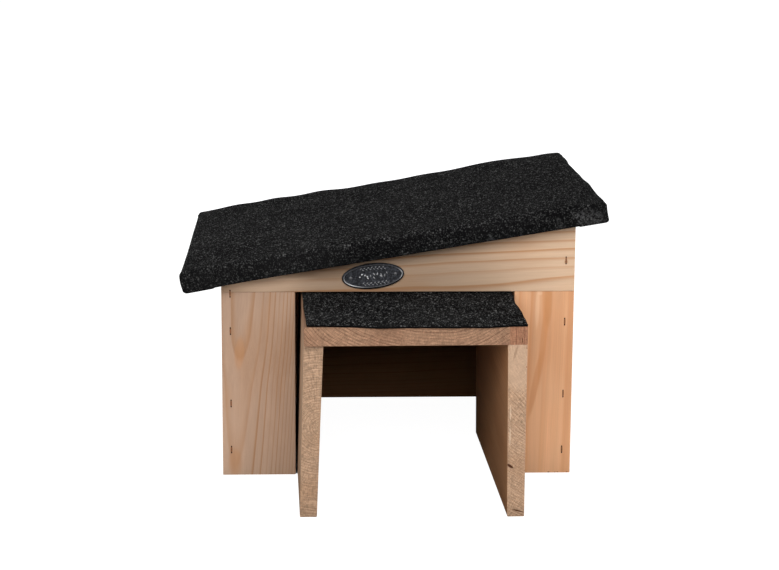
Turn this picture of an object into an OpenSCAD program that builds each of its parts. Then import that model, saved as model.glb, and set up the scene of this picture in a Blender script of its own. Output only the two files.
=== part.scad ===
// Hedgehog house: a board-built shelter with a felted lift-off roof and a loose entrance tunnel.
// The front looks along -Y, the roof falls towards -X, and the walls stand on Z = 0.
// Every board is drawn from the house's front face (Y = 0) and centre line (X = 0), and in_frame()
// then moves it so that the origin is under the middle of the whole object.

/* [Boards] */
// Thickness of the planed boards of the walls and the tunnel roof
board_t = 17; // [14:0.5:22]
// Thickness of the roof boards
roof_board_t = 16; // [12:0.5:22]
// How far the long edges of the boards are eased
arris = 0.8; // [0.4:0.1:1.5]

/* [House walls] */
// Width across the front
house_w = 340; // [310:1:400]
// Depth from front face to back face
house_d = 310; // [300:1:380]
// Height of the lower boards and of the doorway
course_h = 182; // [170:1:220]
// Height of the wall above the lower boards, at the left
left_topper_h = 11; // [8:0.5:30]
// Height of the wall above the lower boards, at the right
right_topper_h = 67.5; // [60:0.5:90]
// Width of the front board beside the doorway, at the left
left_jamb_w = 70.8; // [50:0.1:85]
// Width of the front board beside the doorway, at the right
right_jamb_w = 57.8; // [50:0.1:85]

/* [Roof] */
// How far the roof boards reach past the left wall
left_overhang = 33; // [20:0.5:50]
// How far the roof boards reach past the right wall
right_overhang = 27.5; // [20:0.5:50]
// How far the roof boards reach past the front
front_overhang = 15.5; // [12:0.5:40]
// How far the roof boards reach past the back
back_overhang = 18.5; // [12:0.5:40]
// Width of the roof board at the front, cut from full-width stock
roof_front_board_w = 185; // [120:1:220]
// Clearance between the roof boards and the tops of the walls
seat_gap = 0.2; // [0.1:0.1:0.5]
// Width of the two battens that hold the roof boards together and locate the roof
batten_w = 20; // [15:1:30]
// Height of the battens
batten_h = 20; // [12:1:28]
// Clearance between the battens and the insides of the walls
batten_gap = 3; // [2:0.5:8]

/* [Felt] */
// Thickness of the mineral roofing felt
felt_t = 1.6; // [1.2:0.1:3]
// Outside radius where the felt bends over the edges of the roof
felt_bend = 3; // [2:0.5:3.5]
// Width of the folded corner flaps at the top
flap_w = 33; // [20:1:45]
// How much narrower the flaps are at the bottom
flap_taper = 9; // [0:1:15]
// Space between the turned-under edge of the felt and the walls
felt_edge_gap = 2.5; // [1:0.5:5]

/* [Tunnel] */
// How far the tunnel stands out of the doorway
tunnel_out = 138; // [80:1:180]
// How far the tunnel reaches into the house
tunnel_in = 143; // [90:1:200]
// How far the loose tunnel is turned in the doorway, seen from above
tunnel_turn = 0.9; // [0:0.1:1]
// Gap between the doorway and the top of the tunnel's left wall
tunnel_left_gap = 5.9; // [5.5:0.1:15]
// Gap between the doorway and the tunnel's right wall
tunnel_right_gap = 4.4; // [1:0.1:8]
// Gap between the lintel and the felt on the tunnel
tunnel_top_gap = 2; // [1:0.1:6]
// How far the foot of the tunnel's left wall stands out past its top
tunnel_splay = 4; // [0:0.5:5]
// Thickness of the tunnel walls at the top
tunnel_wall_t = 17.5; // [14:0.1:22]
// How much thinner the tunnel walls are at the foot
tunnel_wall_taper = 1.9; // [0:0.1:3]
// How much shorter the tunnel's left wall is at the front
tunnel_left_short = 6; // [0:0.5:8]
// How far the wide tunnel roof board bears on the right wall, with the strip beside it
tunnel_bearing = 1.5; // [0.5:0.5:6]
// How far the tunnel felt lies in from the left edge of the tunnel roof
tunnel_felt_inset = 1; // [0:0.5:6]
// How far the tunnel felt hangs past the front of the tunnel
tunnel_felt_lip = 1.5; // [0:0.5:6]
// How far the tunnel felt reaches in behind the front boards
tunnel_felt_tail = 10; // [5:1:60]

/* [Badge] */
// Length of the oval badge
badge_l = 60; // [40:1:64]
// Height of the oval badge
badge_h = 25; // [16:0.5:26]
// Thickness of the badge at its rim
badge_t = 2.6; // [1.5:0.1:4]
// Width of the raised rim
badge_rim_w = 1.8; // [1:0.1:3]
// How deep the field lies below the rim
badge_field_drop = 1; // [0.4:0.1:1.2]
// Angle at which the badge leans to follow the roof
badge_tilt = 5.8; // [0:0.1:10]
// Distance of the badge's centre from the centre line, towards the left
badge_off = 24.5; // [0:0.1:40]
// Distance between the two badge pins
badge_pin_pitch = 43; // [20:1:44]
// Radius of the badge pins
badge_pin_r = 0.8; // [0.5:0.1:1.2]

/* [Staples] */
// Outside width of the framing staples
staple_crown = 7.6; // [6:0.1:13]
// Length of the framing staples' legs
staple_leg = 38; // [28:1:45]
// Width of the staple wire
staple_wire = 1.2; // [0.8:0.1:1.6]
// How far the crowns are driven below the surface
staple_sink = 0.3; // [0:0.1:1]
// Outside width of the felt staples
felt_staple_crown = 10; // [8:0.5:14]
// Length of the felt staples' legs
felt_staple_leg = 10; // [6:0.5:14]

/* [Hidden] */
$fn = 48;
EPS = 0.01;
BIG = 1000;

left_side_h = course_h + left_topper_h;
right_side_h = course_h + right_topper_h;
roof_angle = atan((right_side_h - left_side_h) / house_w);
inner_d = house_d - 2 * board_t;

// The doorway between the two front boards
door_x0 = left_jamb_w - house_w / 2;
door_x1 = house_w / 2 - right_jamb_w;

// The roof boards, measured along the slope from the top of the left wall's outer face
roof_x0 = -left_overhang / cos(roof_angle);
roof_x1 = (house_w + right_overhang) / cos(roof_angle);
roof_y0 = -front_overhang;
roof_y1 = house_d + back_overhang;

// The battens, measured the same way, clear of the walls at their lowest corners
left_batten_x = (board_t + batten_gap) / cos(roof_angle);
right_batten_x = (house_w - board_t - batten_gap - batten_h * sin(roof_angle)) / cos(roof_angle) - batten_w;
batten_y = board_t + batten_gap;
batten_l = inner_d - 2 * batten_gap;

// The tunnel between its outer faces, at the top and before it is turned
tunnel_x0 = door_x0 + tunnel_left_gap;
tunnel_x1 = door_x1 - tunnel_right_gap;
tunnel_mid_x = (tunnel_x0 + tunnel_x1) / 2;
tunnel_wall_h = course_h - tunnel_top_gap - felt_t - board_t;
tunnel_foot_t = tunnel_wall_t - tunnel_wall_taper;
tunnel_strip_w = tunnel_wall_t - tunnel_bearing;
tunnel_joint_x = tunnel_x1 - tunnel_strip_w;

// Where the framing staples sit, as shares of the lower boards' height
left_staple_shares = [0.14, 0.395, 0.79];
right_staple_shares = [0.13, 0.44, 0.835];
// The seam staple has one leg in the lower boards and one in the boards above
seam_staple_z = course_h - staple_crown / 2 + 2 * staple_wire;
lintel_staple_z = course_h + 0.45 * right_topper_h;
staple_x = (house_w - board_t) / 2;
// The batten staples stop inside the battens
batten_staple_leg = roof_board_t + 0.7 * batten_h;
// Staples in a row stand in from the ends of what they hold
row_inset = 30;
tunnel_staples_per_wall = 4;
batten_staples_per_board = 2;
felt_staples_per_edge = 4;

// The badge sits a little below the middle of the lintel's height at that place
lintel_h_at_badge = left_topper_h + (house_w / 2 - badge_off) * tan(roof_angle);
badge_rise = 0.45 * lintel_h_at_badge;

// The badge's pins, their heads and the depth that they reach into the lintel
badge_point_count = 72;
pin_head_r = 2 * badge_pin_r;
pin_head_h = badge_pin_r;
pin_depth = 0.7 * board_t;

// How far the front left corner of the tunnel felt, the foremost point, lies before the house
foremost = (tunnel_mid_x - tunnel_x0 - tunnel_felt_inset) * sin(tunnel_turn)
    + (tunnel_out + tunnel_felt_lip) * cos(tunnel_turn);

// The middle of the whole object, seen from above
centre_x = (right_overhang - left_overhang) / 2 - (roof_board_t / 2 + seat_gap) * sin(roof_angle);
centre_y = (roof_y1 + 2 * felt_t - foremost) / 2;

wood_colour = "#c69c74";
pale_wood_colour = "#d3b08a";
felt_colour = "#2b2b2b";
steel_colour = "#7a6a58";
pewter_colour = "#5d6068";

// Frames

module in_frame() {
    translate([-centre_x, -centre_y, 0]) children();
}

// Underside of the roof boards: X runs up the slope from the left wall's outer face, Z stands square to it
module on_roof() {
    translate([-house_w / 2, 0, left_side_h])
        rotate([0, -roof_angle, 0])
            translate([0, 0, seat_gap]) children();
}

// Badge: X along the oval, Z out of the lintel's front face
module on_lintel() {
    translate([-badge_off, 0, course_h + badge_rise])
        rotate([90, -badge_tilt, 0]) children();
}

// Tunnel: turned about the middle of the doorway
module in_doorway() {
    translate([tunnel_mid_x, 0, 0])
        rotate([0, 0, tunnel_turn])
            translate([-tunnel_mid_x, 0, 0]) children();
}

// Board shapes

function unit(v) = v / norm(v);

// An outline with every corner eased: two points on the sides and one between them replace the corner
function eased(points) = [
    for (i = [0:len(points) - 1])
        let (
            corner = points[i],
            before = corner + arris * unit(points[(i + len(points) - 1) % len(points)] - corner),
            after = corner + arris * unit(points[(i + 1) % len(points)] - corner)
        )
        each [before, (before + 2 * corner + after) / 4, after]
];

function rectangle(w, h) = [[0, 0], [w, 0], [w, h], [0, h]];

// An outline in X and Z, carried along Y
module along_y(points, length) {
    translate([0, length, 0])
        rotate([90, 0, 0])
            linear_extrude(length) polygon(points);
}

// A board whose grain, and whose eased edges, run along one axis
module board(size, grain) {
    if (grain == "x")
        rotate([90, 0, 90]) linear_extrude(size.x) polygon(eased(rectangle(size.y, size.z)));
    if (grain == "y")
        along_y(eased(rectangle(size.x, size.z)), size.y);
    if (grain == "z")
        linear_extrude(size.z) polygon(eased(rectangle(size.x, size.y)));
}

// A wall piece with its top sawn to the slope of the roof
module under_roof() {
    difference() {
        children();
        on_roof() translate([-BIG, -BIG, -seat_gap]) cube(2 * BIG);
    }
}

// Staples

// A staple driven down into Z = 0, with its crown along Y and chisel points; top is its crown's upper face
module staple(crown, leg, top) {
    inner = crown / 2 - staple_wire;
    outer = crown / 2;
    bend = -staple_sink - staple_wire;
    tip = -leg;
    shoulder = tip + 2 * staple_wire;
    rotate([90, 0, 90])
        linear_extrude(staple_wire, center = true)
            polygon([
                [-outer, top], [-outer, shoulder], [-inner, tip], [-inner, bend],
                [inner, bend], [inner, tip], [outer, shoulder], [outer, top]
            ]);
}

module framing_staple(leg = staple_leg) {
    staple(staple_crown, leg, -staple_sink);
}

// The slot that a framing staple leaves in the wood, open at the surface
module framing_slot(leg = staple_leg) {
    staple(staple_crown, leg, staple_wire);
}

module felt_staple() {
    staple(felt_staple_crown, felt_staple_leg, -staple_sink);
}

module felt_staple_slot() {
    staple(felt_staple_crown, felt_staple_leg, staple_wire);
}

// Places of the wall staples, seen from the front
module at_wall_staples() {
    for (share = left_staple_shares)
        translate([-staple_x, 0, share * course_h]) rotate([90, 0, 0]) children();
    for (share = right_staple_shares)
        translate([staple_x, 0, share * course_h]) rotate([90, 0, 0]) children();
    translate([-staple_x, 0, seam_staple_z]) rotate([90, 0, 0]) children();
    translate([staple_x, 0, lintel_staple_z]) rotate([90, 0, 0]) children();
}

// The back is stapled as the front is
module at_back_staples() {
    translate([0, house_d, 0])
        mirror([0, 1, 0]) at_wall_staples() children();
}

module wall_slots() {
    at_wall_staples() framing_slot();
    at_back_staples() framing_slot();
}

// Evenly spaced places along Y between two ends, each set in from its end
module in_row(y0, y1, count) {
    for (i = [0:count - 1])
        translate([0, y0 + row_inset + i * (y1 - y0 - 2 * row_inset) / (count - 1), 0]) children();
}

// Places of the batten staples, on top of the roof boards
module at_batten_staples() {
    joint_y = roof_y0 + roof_front_board_w;
    for (x = [left_batten_x, right_batten_x])
        translate([x + batten_w / 2, 0, roof_board_t]) {
            in_row(batten_y, joint_y, batten_staples_per_board) children();
            in_row(joint_y, batten_y + batten_l, batten_staples_per_board) children();
        }
}

// Places of the tunnel staples, on top of the tunnel roof
module at_tunnel_staples() {
    for (x = [tunnel_x0 + tunnel_wall_t / 2, tunnel_joint_x + tunnel_strip_w / 2])
        translate([x, 0, tunnel_wall_h + board_t])
            in_row(-tunnel_out, tunnel_in, tunnel_staples_per_wall) children();
}

// Places of the felt staples, on the underside of the turned-in felt, half way between edge and wall
module at_felt_staples() {
    spans = [
        for (i = [0:felt_staples_per_edge - 1])
            (i + 0.5) / felt_staples_per_edge
    ];
    for (share = spans) {
        for (y = [roof_y0 / 2, (house_d + roof_y1) / 2])
            translate([roof_x0 + share * (roof_x1 - roof_x0), y, -felt_t])
                rotate([180, 0, 90]) children();
        for (x = [roof_x0 / 2, (house_w / cos(roof_angle) + roof_x1) / 2])
            translate([x, roof_y0 + share * (roof_y1 - roof_y0), -felt_t])
                rotate([180, 0, 0]) children();
    }
}

// House walls

module front_lintel() {
    color(wood_colour) in_frame() difference() {
        under_roof()
            translate([-house_w / 2, 0, course_h]) board([house_w, board_t, right_topper_h + board_t], "x");
        wall_slots();
        on_lintel() at_badge_pins()
            translate([0, 0, -pin_depth]) cylinder(r = badge_pin_r, h = pin_depth + EPS);
    }
}

module front_left_board() {
    color(wood_colour) in_frame() difference() {
        translate([-house_w / 2, 0, 0]) board([left_jamb_w, board_t, course_h], "z");
        wall_slots();
    }
}

module front_right_board() {
    color(pale_wood_colour) in_frame() difference() {
        translate([door_x1, 0, 0]) board([right_jamb_w, board_t, course_h], "z");
        wall_slots();
    }
}

module left_side_board() {
    color(wood_colour) in_frame() difference() {
        translate([-house_w / 2, board_t, 0]) board([board_t, inner_d, course_h], "y");
        wall_slots();
    }
}

module left_side_strip() {
    color(wood_colour) in_frame() difference() {
        under_roof()
            translate([-house_w / 2, board_t, course_h]) board([board_t, inner_d, left_topper_h + board_t], "y");
        wall_slots();
    }
}

module right_side_board() {
    color(pale_wood_colour) in_frame() difference() {
        translate([house_w / 2 - board_t, board_t, 0]) board([board_t, inner_d, course_h], "y");
        wall_slots();
    }
}

module right_side_upper_board() {
    color(wood_colour) in_frame() difference() {
        under_roof()
            translate([house_w / 2 - board_t, board_t, course_h])
                board([board_t, inner_d, right_topper_h + board_t], "y");
        wall_slots();
    }
}

module back_lower_board() {
    color(wood_colour) in_frame() difference() {
        translate([-house_w / 2, house_d - board_t, 0]) board([house_w, board_t, course_h], "x");
        wall_slots();
    }
}

module back_upper_board() {
    color(wood_colour) in_frame() difference() {
        under_roof()
            translate([-house_w / 2, house_d - board_t, course_h])
                board([house_w, board_t, right_topper_h + board_t], "x");
        wall_slots();
    }
}

module front_staples() {
    color(steel_colour) in_frame() at_wall_staples() framing_staple();
}

module back_staples() {
    color(steel_colour) in_frame() at_back_staples() framing_staple();
}

// Badge

// Points of an ellipse with half axes a and b
function oval(a, b) = [
    for (i = [0:badge_point_count - 1])
        let (angle = 360 * i / badge_point_count) [a * cos(angle), b * sin(angle)]
];

module at_badge_pins() {
    for (side = [-1, 1])
        translate([side * badge_pin_pitch / 2, 0, 0]) children();
}

module badge_plate() {
    color(pewter_colour) in_frame() on_lintel() difference() {
        linear_extrude(badge_t) polygon(oval(badge_l / 2, badge_h / 2));
        translate([0, 0, badge_t - badge_field_drop])
            linear_extrude(badge_t) polygon(oval(badge_l / 2 - badge_rim_w, badge_h / 2 - badge_rim_w));
        at_badge_pins() translate([0, 0, -EPS]) cylinder(r = badge_pin_r, h = badge_t + 2 * EPS);
    }
}

// Round-head pins through the badge into the lintel
module badge_pins() {
    dome_r = (pin_head_r * pin_head_r + pin_head_h * pin_head_h) / (2 * pin_head_h);
    color(pewter_colour) in_frame() on_lintel() at_badge_pins() {
        translate([0, 0, -pin_depth]) cylinder(r = badge_pin_r, h = pin_depth + badge_t - badge_field_drop);
        translate([0, 0, badge_t - badge_field_drop])
            intersection() {
                translate([0, 0, pin_head_h - dome_r]) sphere(dome_r);
                cylinder(r = pin_head_r + EPS, h = pin_head_h + EPS);
            }
    }
}

// Roof

module roof_board(y0, y1) {
    on_roof() difference() {
        translate([roof_x0, y0, 0]) board([roof_x1 - roof_x0, y1 - y0, roof_board_t], "x");
        at_batten_staples() framing_slot(batten_staple_leg);
        at_felt_staples() felt_staple_slot();
    }
}

module roof_front_board() {
    color(wood_colour) in_frame() roof_board(roof_y0, roof_y0 + roof_front_board_w);
}

module roof_back_board() {
    color(wood_colour) in_frame() roof_board(roof_y0 + roof_front_board_w, roof_y1);
}

module roof_batten(x) {
    on_roof() difference() {
        translate([x, batten_y, -batten_h]) board([batten_w, batten_l, batten_h], "y");
        at_batten_staples() framing_slot(batten_staple_leg);
    }
}

module roof_left_batten() {
    color(pale_wood_colour) in_frame() roof_batten(left_batten_x);
}

module roof_right_batten() {
    color(pale_wood_colour) in_frame() roof_batten(right_batten_x);
}

module batten_staples() {
    color(steel_colour) in_frame() on_roof() at_batten_staples() framing_staple(batten_staple_leg);
}

// A rectangle with round corners, from the origin
module round_rectangle(w, h, r) {
    translate([r, 0]) square([w - 2 * r, h]);
    translate([0, r]) square([w, h - 2 * r]);
    for (x = [r, w - r], y = [r, h - r])
        translate([x, y]) circle(r);
}

// The wrapped roof as one block with bent edges, grown past the front and back by some layers of felt
module wrapped_block(layers) {
    size = [
        roof_x1 - roof_x0 + 2 * felt_t,
        roof_y1 - roof_y0 + 2 * layers * felt_t,
        roof_board_t + 2 * felt_t
    ];
    translate([roof_x0 - felt_t, roof_y0 - layers * felt_t, -felt_t])
        intersection() {
            rotate([90, 0, 90]) linear_extrude(size.x) round_rectangle(size.y, size.z, felt_bend);
            translate([0, size.y, 0])
                rotate([90, 0, 0]) linear_extrude(size.y) round_rectangle(size.x, size.z, felt_bend);
        }
}

// The columns in which the four corners have a second layer, where the spare felt is folded round
module corner_columns() {
    bottom = -felt_t;
    top = roof_board_t + felt_t;
    left_end = roof_x0 - felt_t;
    right_end = roof_x1 + felt_t;
    translate([0, roof_y0 - 2 * felt_t, 0]) {
        along_y([[left_end, bottom], [left_end + flap_w - flap_taper, bottom], [left_end + flap_w, top],
                 [left_end, top]], roof_y1 - roof_y0 + 4 * felt_t);
        along_y([[right_end, bottom], [right_end, top], [right_end - flap_w, top],
                 [right_end - flap_w + flap_taper, bottom]], roof_y1 - roof_y0 + 4 * felt_t);
    }
}

// One sheet over the boards, bent down over all four edges and turned under as far as the walls
module roof_felt() {
    window_x0 = -felt_edge_gap;
    window_x1 = house_w / cos(roof_angle) + felt_edge_gap;
    color(felt_colour) in_frame() on_roof() difference() {
        union() {
            wrapped_block(1);
            intersection() {
                wrapped_block(2);
                corner_columns();
            }
        }
        translate([roof_x0, roof_y0, 0]) cube([roof_x1 - roof_x0, roof_y1 - roof_y0, roof_board_t]);
        translate([window_x0, -felt_edge_gap, -2 * felt_t])
            cube([window_x1 - window_x0, house_d + 2 * felt_edge_gap, 3 * felt_t]);
        at_felt_staples() felt_staple_slot();
    }
}

module felt_staples() {
    color(steel_colour) in_frame() on_roof() at_felt_staples() felt_staple();
}

// Tunnel

module tunnel_left_wall() {
    color(wood_colour) in_frame() in_doorway() difference() {
        translate([tunnel_x0, -tunnel_out + tunnel_left_short, 0])
            along_y(eased([
                [-tunnel_splay, 0], [tunnel_foot_t - tunnel_splay, 0],
                [tunnel_wall_t, tunnel_wall_h], [0, tunnel_wall_h]
            ]), tunnel_out + tunnel_in - tunnel_left_short);
        at_tunnel_staples() framing_slot();
    }
}

module tunnel_right_wall() {
    color(wood_colour) in_frame() in_doorway() difference() {
        translate([tunnel_x1, -tunnel_out, 0])
            along_y(eased([
                [-tunnel_foot_t, 0], [0, 0], [0, tunnel_wall_h], [-tunnel_wall_t, tunnel_wall_h]
            ]), tunnel_out + tunnel_in);
        at_tunnel_staples() framing_slot();
    }
}

module tunnel_roof_piece(x0, x1) {
    difference() {
        translate([x0, -tunnel_out, tunnel_wall_h]) board([x1 - x0, tunnel_out + tunnel_in, board_t], "y");
        at_tunnel_staples() framing_slot();
    }
}

module tunnel_roof_board() {
    color(pale_wood_colour) in_frame() in_doorway() tunnel_roof_piece(tunnel_x0, tunnel_joint_x);
}

module tunnel_roof_strip() {
    color(wood_colour) in_frame() in_doorway() tunnel_roof_piece(tunnel_joint_x, tunnel_x1);
}

module tunnel_staples() {
    color(steel_colour) in_frame() in_doorway() at_tunnel_staples() framing_staple();
}

module tunnel_felt() {
    color(felt_colour) in_frame() in_doorway()
        translate([tunnel_x0 + tunnel_felt_inset, -tunnel_out - tunnel_felt_lip, tunnel_wall_h + board_t])
            cube([
                tunnel_x1 - tunnel_x0 - tunnel_felt_inset,
                tunnel_out + tunnel_felt_lip + board_t + tunnel_felt_tail,
                felt_t
            ]);
}

front_lintel();
front_left_board();
front_right_board();
left_side_board();
left_side_strip();
right_side_board();
right_side_upper_board();
back_lower_board();
back_upper_board();
front_staples();
back_staples();
badge_plate();
badge_pins();
roof_front_board();
roof_back_board();
roof_left_batten();
roof_right_batten();
batten_staples();
roof_felt();
felt_staples();
tunnel_left_wall();
tunnel_right_wall();
tunnel_roof_board();
tunnel_roof_strip();
tunnel_staples();
tunnel_felt();
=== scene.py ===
"""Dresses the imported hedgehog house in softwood, mineral felt, pewter and staple wire, on a pale stage.

The file is laid out as an add-on: property groups hold the sizes and colours that a user would change,
one operator makes each piece or group of pieces, and one panel lists them. Meshes are in metres in the
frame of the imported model: +X to the right and up the roof, -Y out of the entrance, +Z up.
"""

import math
from functools import partial, reduce

import bpy
import numpy as np
from bpy.props import FloatProperty, FloatVectorProperty, PointerProperty
from mathutils import Matrix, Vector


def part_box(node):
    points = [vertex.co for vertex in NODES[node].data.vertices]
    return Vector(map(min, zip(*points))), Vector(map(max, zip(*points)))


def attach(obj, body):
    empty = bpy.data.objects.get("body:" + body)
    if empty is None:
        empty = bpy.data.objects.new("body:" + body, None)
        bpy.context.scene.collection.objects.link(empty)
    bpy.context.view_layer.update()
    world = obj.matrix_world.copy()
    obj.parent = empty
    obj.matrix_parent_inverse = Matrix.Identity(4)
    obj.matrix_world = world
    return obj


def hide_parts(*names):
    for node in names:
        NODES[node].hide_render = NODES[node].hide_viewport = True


bl_info = {
    "name": "Hedgehog House Looks",
    "version": (1, 0, 0),
    "blender": (4, 5, 0),
    "location": "View3D > Sidebar > Hedgehog House",
    "description": "Dresses the packed hedgehog house in wood, felt and metal",
    "category": "Object",
}

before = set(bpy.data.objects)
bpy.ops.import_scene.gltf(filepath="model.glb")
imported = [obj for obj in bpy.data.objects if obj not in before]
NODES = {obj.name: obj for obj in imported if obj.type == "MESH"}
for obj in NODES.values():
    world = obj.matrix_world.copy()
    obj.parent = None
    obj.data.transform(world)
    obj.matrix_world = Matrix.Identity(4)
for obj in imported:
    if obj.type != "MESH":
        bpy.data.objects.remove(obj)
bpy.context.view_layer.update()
MM = 0.001
TAU = 2 * math.pi
QUARTER_TURN = math.pi / 2


# Shapes read from the frame


def node_box(name):
    """Lowest and highest corner of a CAD node."""
    return np.array(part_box(name))


def node_points(*names):
    """Corners of the named CAD nodes as rows of x, y, z."""
    found = []
    for name in names:
        mesh = NODES[name].data
        points = np.zeros(len(mesh.vertices) * 3, np.float32)
        mesh.vertices.foreach_get("co", points)
        found.append(points.reshape(-1, 3).astype(float))
    return np.concatenate(found)


def largest_upper_normal(name):
    """Normal of the largest face of a CAD node among those that look upwards."""
    faces = [face for face in NODES[name].data.polygons if face.normal.z > 0.5]
    return np.array(max(faces, key=lambda face: face.area).normal, float)


def solids_of(name):
    """Boxes (low, high) of the separate solids of a CAD node. Corners on the same hundredth of a millimetre
    are one corner, and the three corners of each triangle share their lowest number until none changes."""
    mesh = NODES[name].data
    points = node_points(name)
    keys = np.unique(np.round(points / (0.01 * MM)).astype(int), axis=0, return_inverse=True)[1].ravel()
    corners = np.zeros(len(mesh.loops), np.int32)
    mesh.loops.foreach_get("vertex_index", corners)
    triangles = keys[corners].reshape(-1, 3)
    label = np.arange(keys.max() + 1)
    before = np.zeros_like(label)
    while np.any(before != label):
        before = label.copy()
        np.minimum.at(label, triangles, label[triangles].min(axis=1)[:, None])
    owner = label[keys]
    return [(points[owner == i].min(0), points[owner == i].max(0)) for i in np.unique(owner)]


class RoofFrame:
    """The roof boards' own frame: u runs up the slope, v along +Y and w square to the slope, in metres."""

    def __init__(self):
        up = largest_upper_normal("roof_front_board")
        self.axes = np.array([[up[2], 0, -up[0]], [0, 1, 0], [up[0], 0, up[2]]])
        boards = node_points("roof_front_board", "roof_back_board") @ self.axes.T
        felt = node_points("roof_felt") @ self.axes.T
        self.low, self.high = boards.min(0), boards.max(0)
        self.middle = (self.low + self.high) / 2
        self.thickness = self.low[2] - felt[:, 2].min()
        self.walls_low = node_box("front_lintel")[0] @ self.axes.T
        self.walls_high = node_box("back_upper_board")[1] @ self.axes.T

    def world(self, points):
        """Points of the row frame for rows of u, v, w."""
        return points @ self.axes


class TunnelFrame:
    """The loose tunnel's own frame, in metres: a runs across it from the left side of its roof board, b runs
    from the board's front end to its back end, and z is the height."""

    def __init__(self):
        corners = node_points("tunnel_felt")
        middle = corners.mean(0)
        left = corners[corners[:, 0] < middle[0]]
        right = corners[corners[:, 0] > middle[0]]
        front_left, back_left = left[left[:, 1].argmin()], left[left[:, 1].argmax()]
        front_right = right[right[:, 1].argmin()]
        self.axes = np.array([front_right - front_left, back_left - front_left])[:, :2]
        self.axes /= np.linalg.norm(self.axes, axis=1, keepdims=True)
        board_corner = (node_points("tunnel_roof_board")[:, :2] @ self.axes.T).min(0)
        self.origin = board_corner @ self.axes
        felt = corners[:, :2] @ self.axes.T - board_corner
        self.felt_low, self.felt_high = felt.min(0), felt.max(0)
        self.felt_bottom, self.felt_top = corners[:, 2].min(), corners[:, 2].max()

    def world(self, a, b, z):
        """Points of the row frame."""
        x, y = (self.origin[i] + a * self.axes[0, i] + b * self.axes[1, i] for i in (0, 1))
        return np.stack([x, y, z], axis=-1)


class BadgeFrame:
    """The oval badge's own frame: p along its length, q across it and r out of the lintel, in metres."""

    def __init__(self):
        points = node_points("badge_plate")
        self.back = points[:, 1].max()
        self.depth = self.back - points[:, 1].min()
        flat = points[:, [0, 2]]
        self.middle = (flat.min(0) + flat.max(0)) / 2
        spread = flat - self.middle
        direction = np.linalg.svd(spread, full_matrices=False)[2][0]
        self.along = direction * np.sign(direction[0])
        self.across = np.array([-self.along[1], self.along[0]])
        self.half = np.array([np.abs(spread @ self.along).max(), np.abs(spread @ self.across).max()])

    def world(self, p, q, r):
        """Points of the row frame."""
        flat = self.middle + p[..., None] * self.along + q[..., None] * self.across
        return np.stack([flat[..., 0], self.back - r, flat[..., 1]], axis=-1)


ROOF = RoofFrame()
TUNNEL = TunnelFrame()
BADGE = BadgeFrame()


# Curves


def share(x, low, high):
    """Goes evenly from 0 at low to 1 at high, and holds beyond them."""
    return np.clip((x - low) / (high - low), 0, 1)


def ease(x, low, high):
    """Goes from 0 at low to 1 at high along a cubic that is level at both ends."""
    part = share(x, low, high)
    return part * part * (3 - 2 * part)


def hump(x, centre, width):
    """A bell curve, 1 at its centre, that has fallen to 0.37 a width away."""
    return np.exp(-(((x - centre) / width) ** 2))


def ripples(x, y, *, seed, longest, shortest, count=12):
    """Sum of plane waves in random directions, with wavelengths spread evenly by ratio from longest to
    shortest and heights in proportion to the wavelength to the power 0.8. Its mean square is 1."""
    random = np.random.default_rng(seed)
    total = np.zeros(np.broadcast(x, y).shape)
    power = 0
    for wavelength in np.geomspace(longest, shortest, count):
        turn = random.uniform(0, TAU)
        phase = random.uniform(0, TAU)
        height = wavelength**0.8
        total += height * np.sin(TAU * (x * math.cos(turn) + y * math.sin(turn)) / wavelength + phase)
        power += height**2 / 2
    return total / math.sqrt(power)


# Meshes


def grid_faces(rows, columns, start=0):
    """Faces of a grid of points numbered row by row, with their normal along column step x row step."""
    number = start + np.arange(rows * columns).reshape(rows, columns)
    corners = [number[:-1, :-1], number[:-1, 1:], number[1:, 1:], number[1:, :-1]]
    return np.stack(corners, axis=-1).reshape(-1, 4)


def dome_faces(rows, columns):
    """Faces of rings of points, one ring a row, that are closed by two further points: the first in the
    middle of the last ring and the second in the middle of the first ring."""
    number = np.arange(rows * columns).reshape(rows, columns)
    beside = np.roll(number, -1, axis=1)
    walls = np.stack([number[:-1], beside[:-1], beside[1:], number[1:]], axis=-1).reshape(-1, 4)
    last_cap = np.stack([number[-1], beside[-1], np.full(columns, rows * columns)], axis=-1)
    first_cap = np.stack([beside[0], number[0], np.full(columns, rows * columns + 1)], axis=-1)
    return [*walls.tolist(), *last_cap.tolist(), *first_cap.tolist()]


def grid_normals(grid):
    """Unit normals of a grid of points: the column step crossed with the row step."""
    normal = np.cross(np.gradient(grid, axis=1), np.gradient(grid, axis=0))
    return normal / np.linalg.norm(normal, axis=-1, keepdims=True)


def add_object(name, data):
    """Adds an object with the given data to the scene."""
    added = bpy.data.objects.new(name, data)
    bpy.context.scene.collection.objects.link(added)
    return added


def add_attribute(mesh, name, domain, values):
    """Adds a number for each face or point, for materials to read."""
    attribute = mesh.attributes.new(name, "FLOAT", domain)
    attribute.data.foreach_set("value", np.asarray(values, np.float32))


def add_piece(name, points, faces, material, body):
    """Makes a smooth mesh object that rides on a body and takes the given material."""
    mesh = bpy.data.meshes.new(name)
    mesh.from_pydata(points.tolist(), [], faces)
    mesh.polygons.foreach_set("use_smooth", np.ones(len(mesh.polygons), bool))
    mesh.materials.append(material)
    mesh.update()
    piece = add_object(name, mesh)
    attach(piece, body)
    return piece


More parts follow.
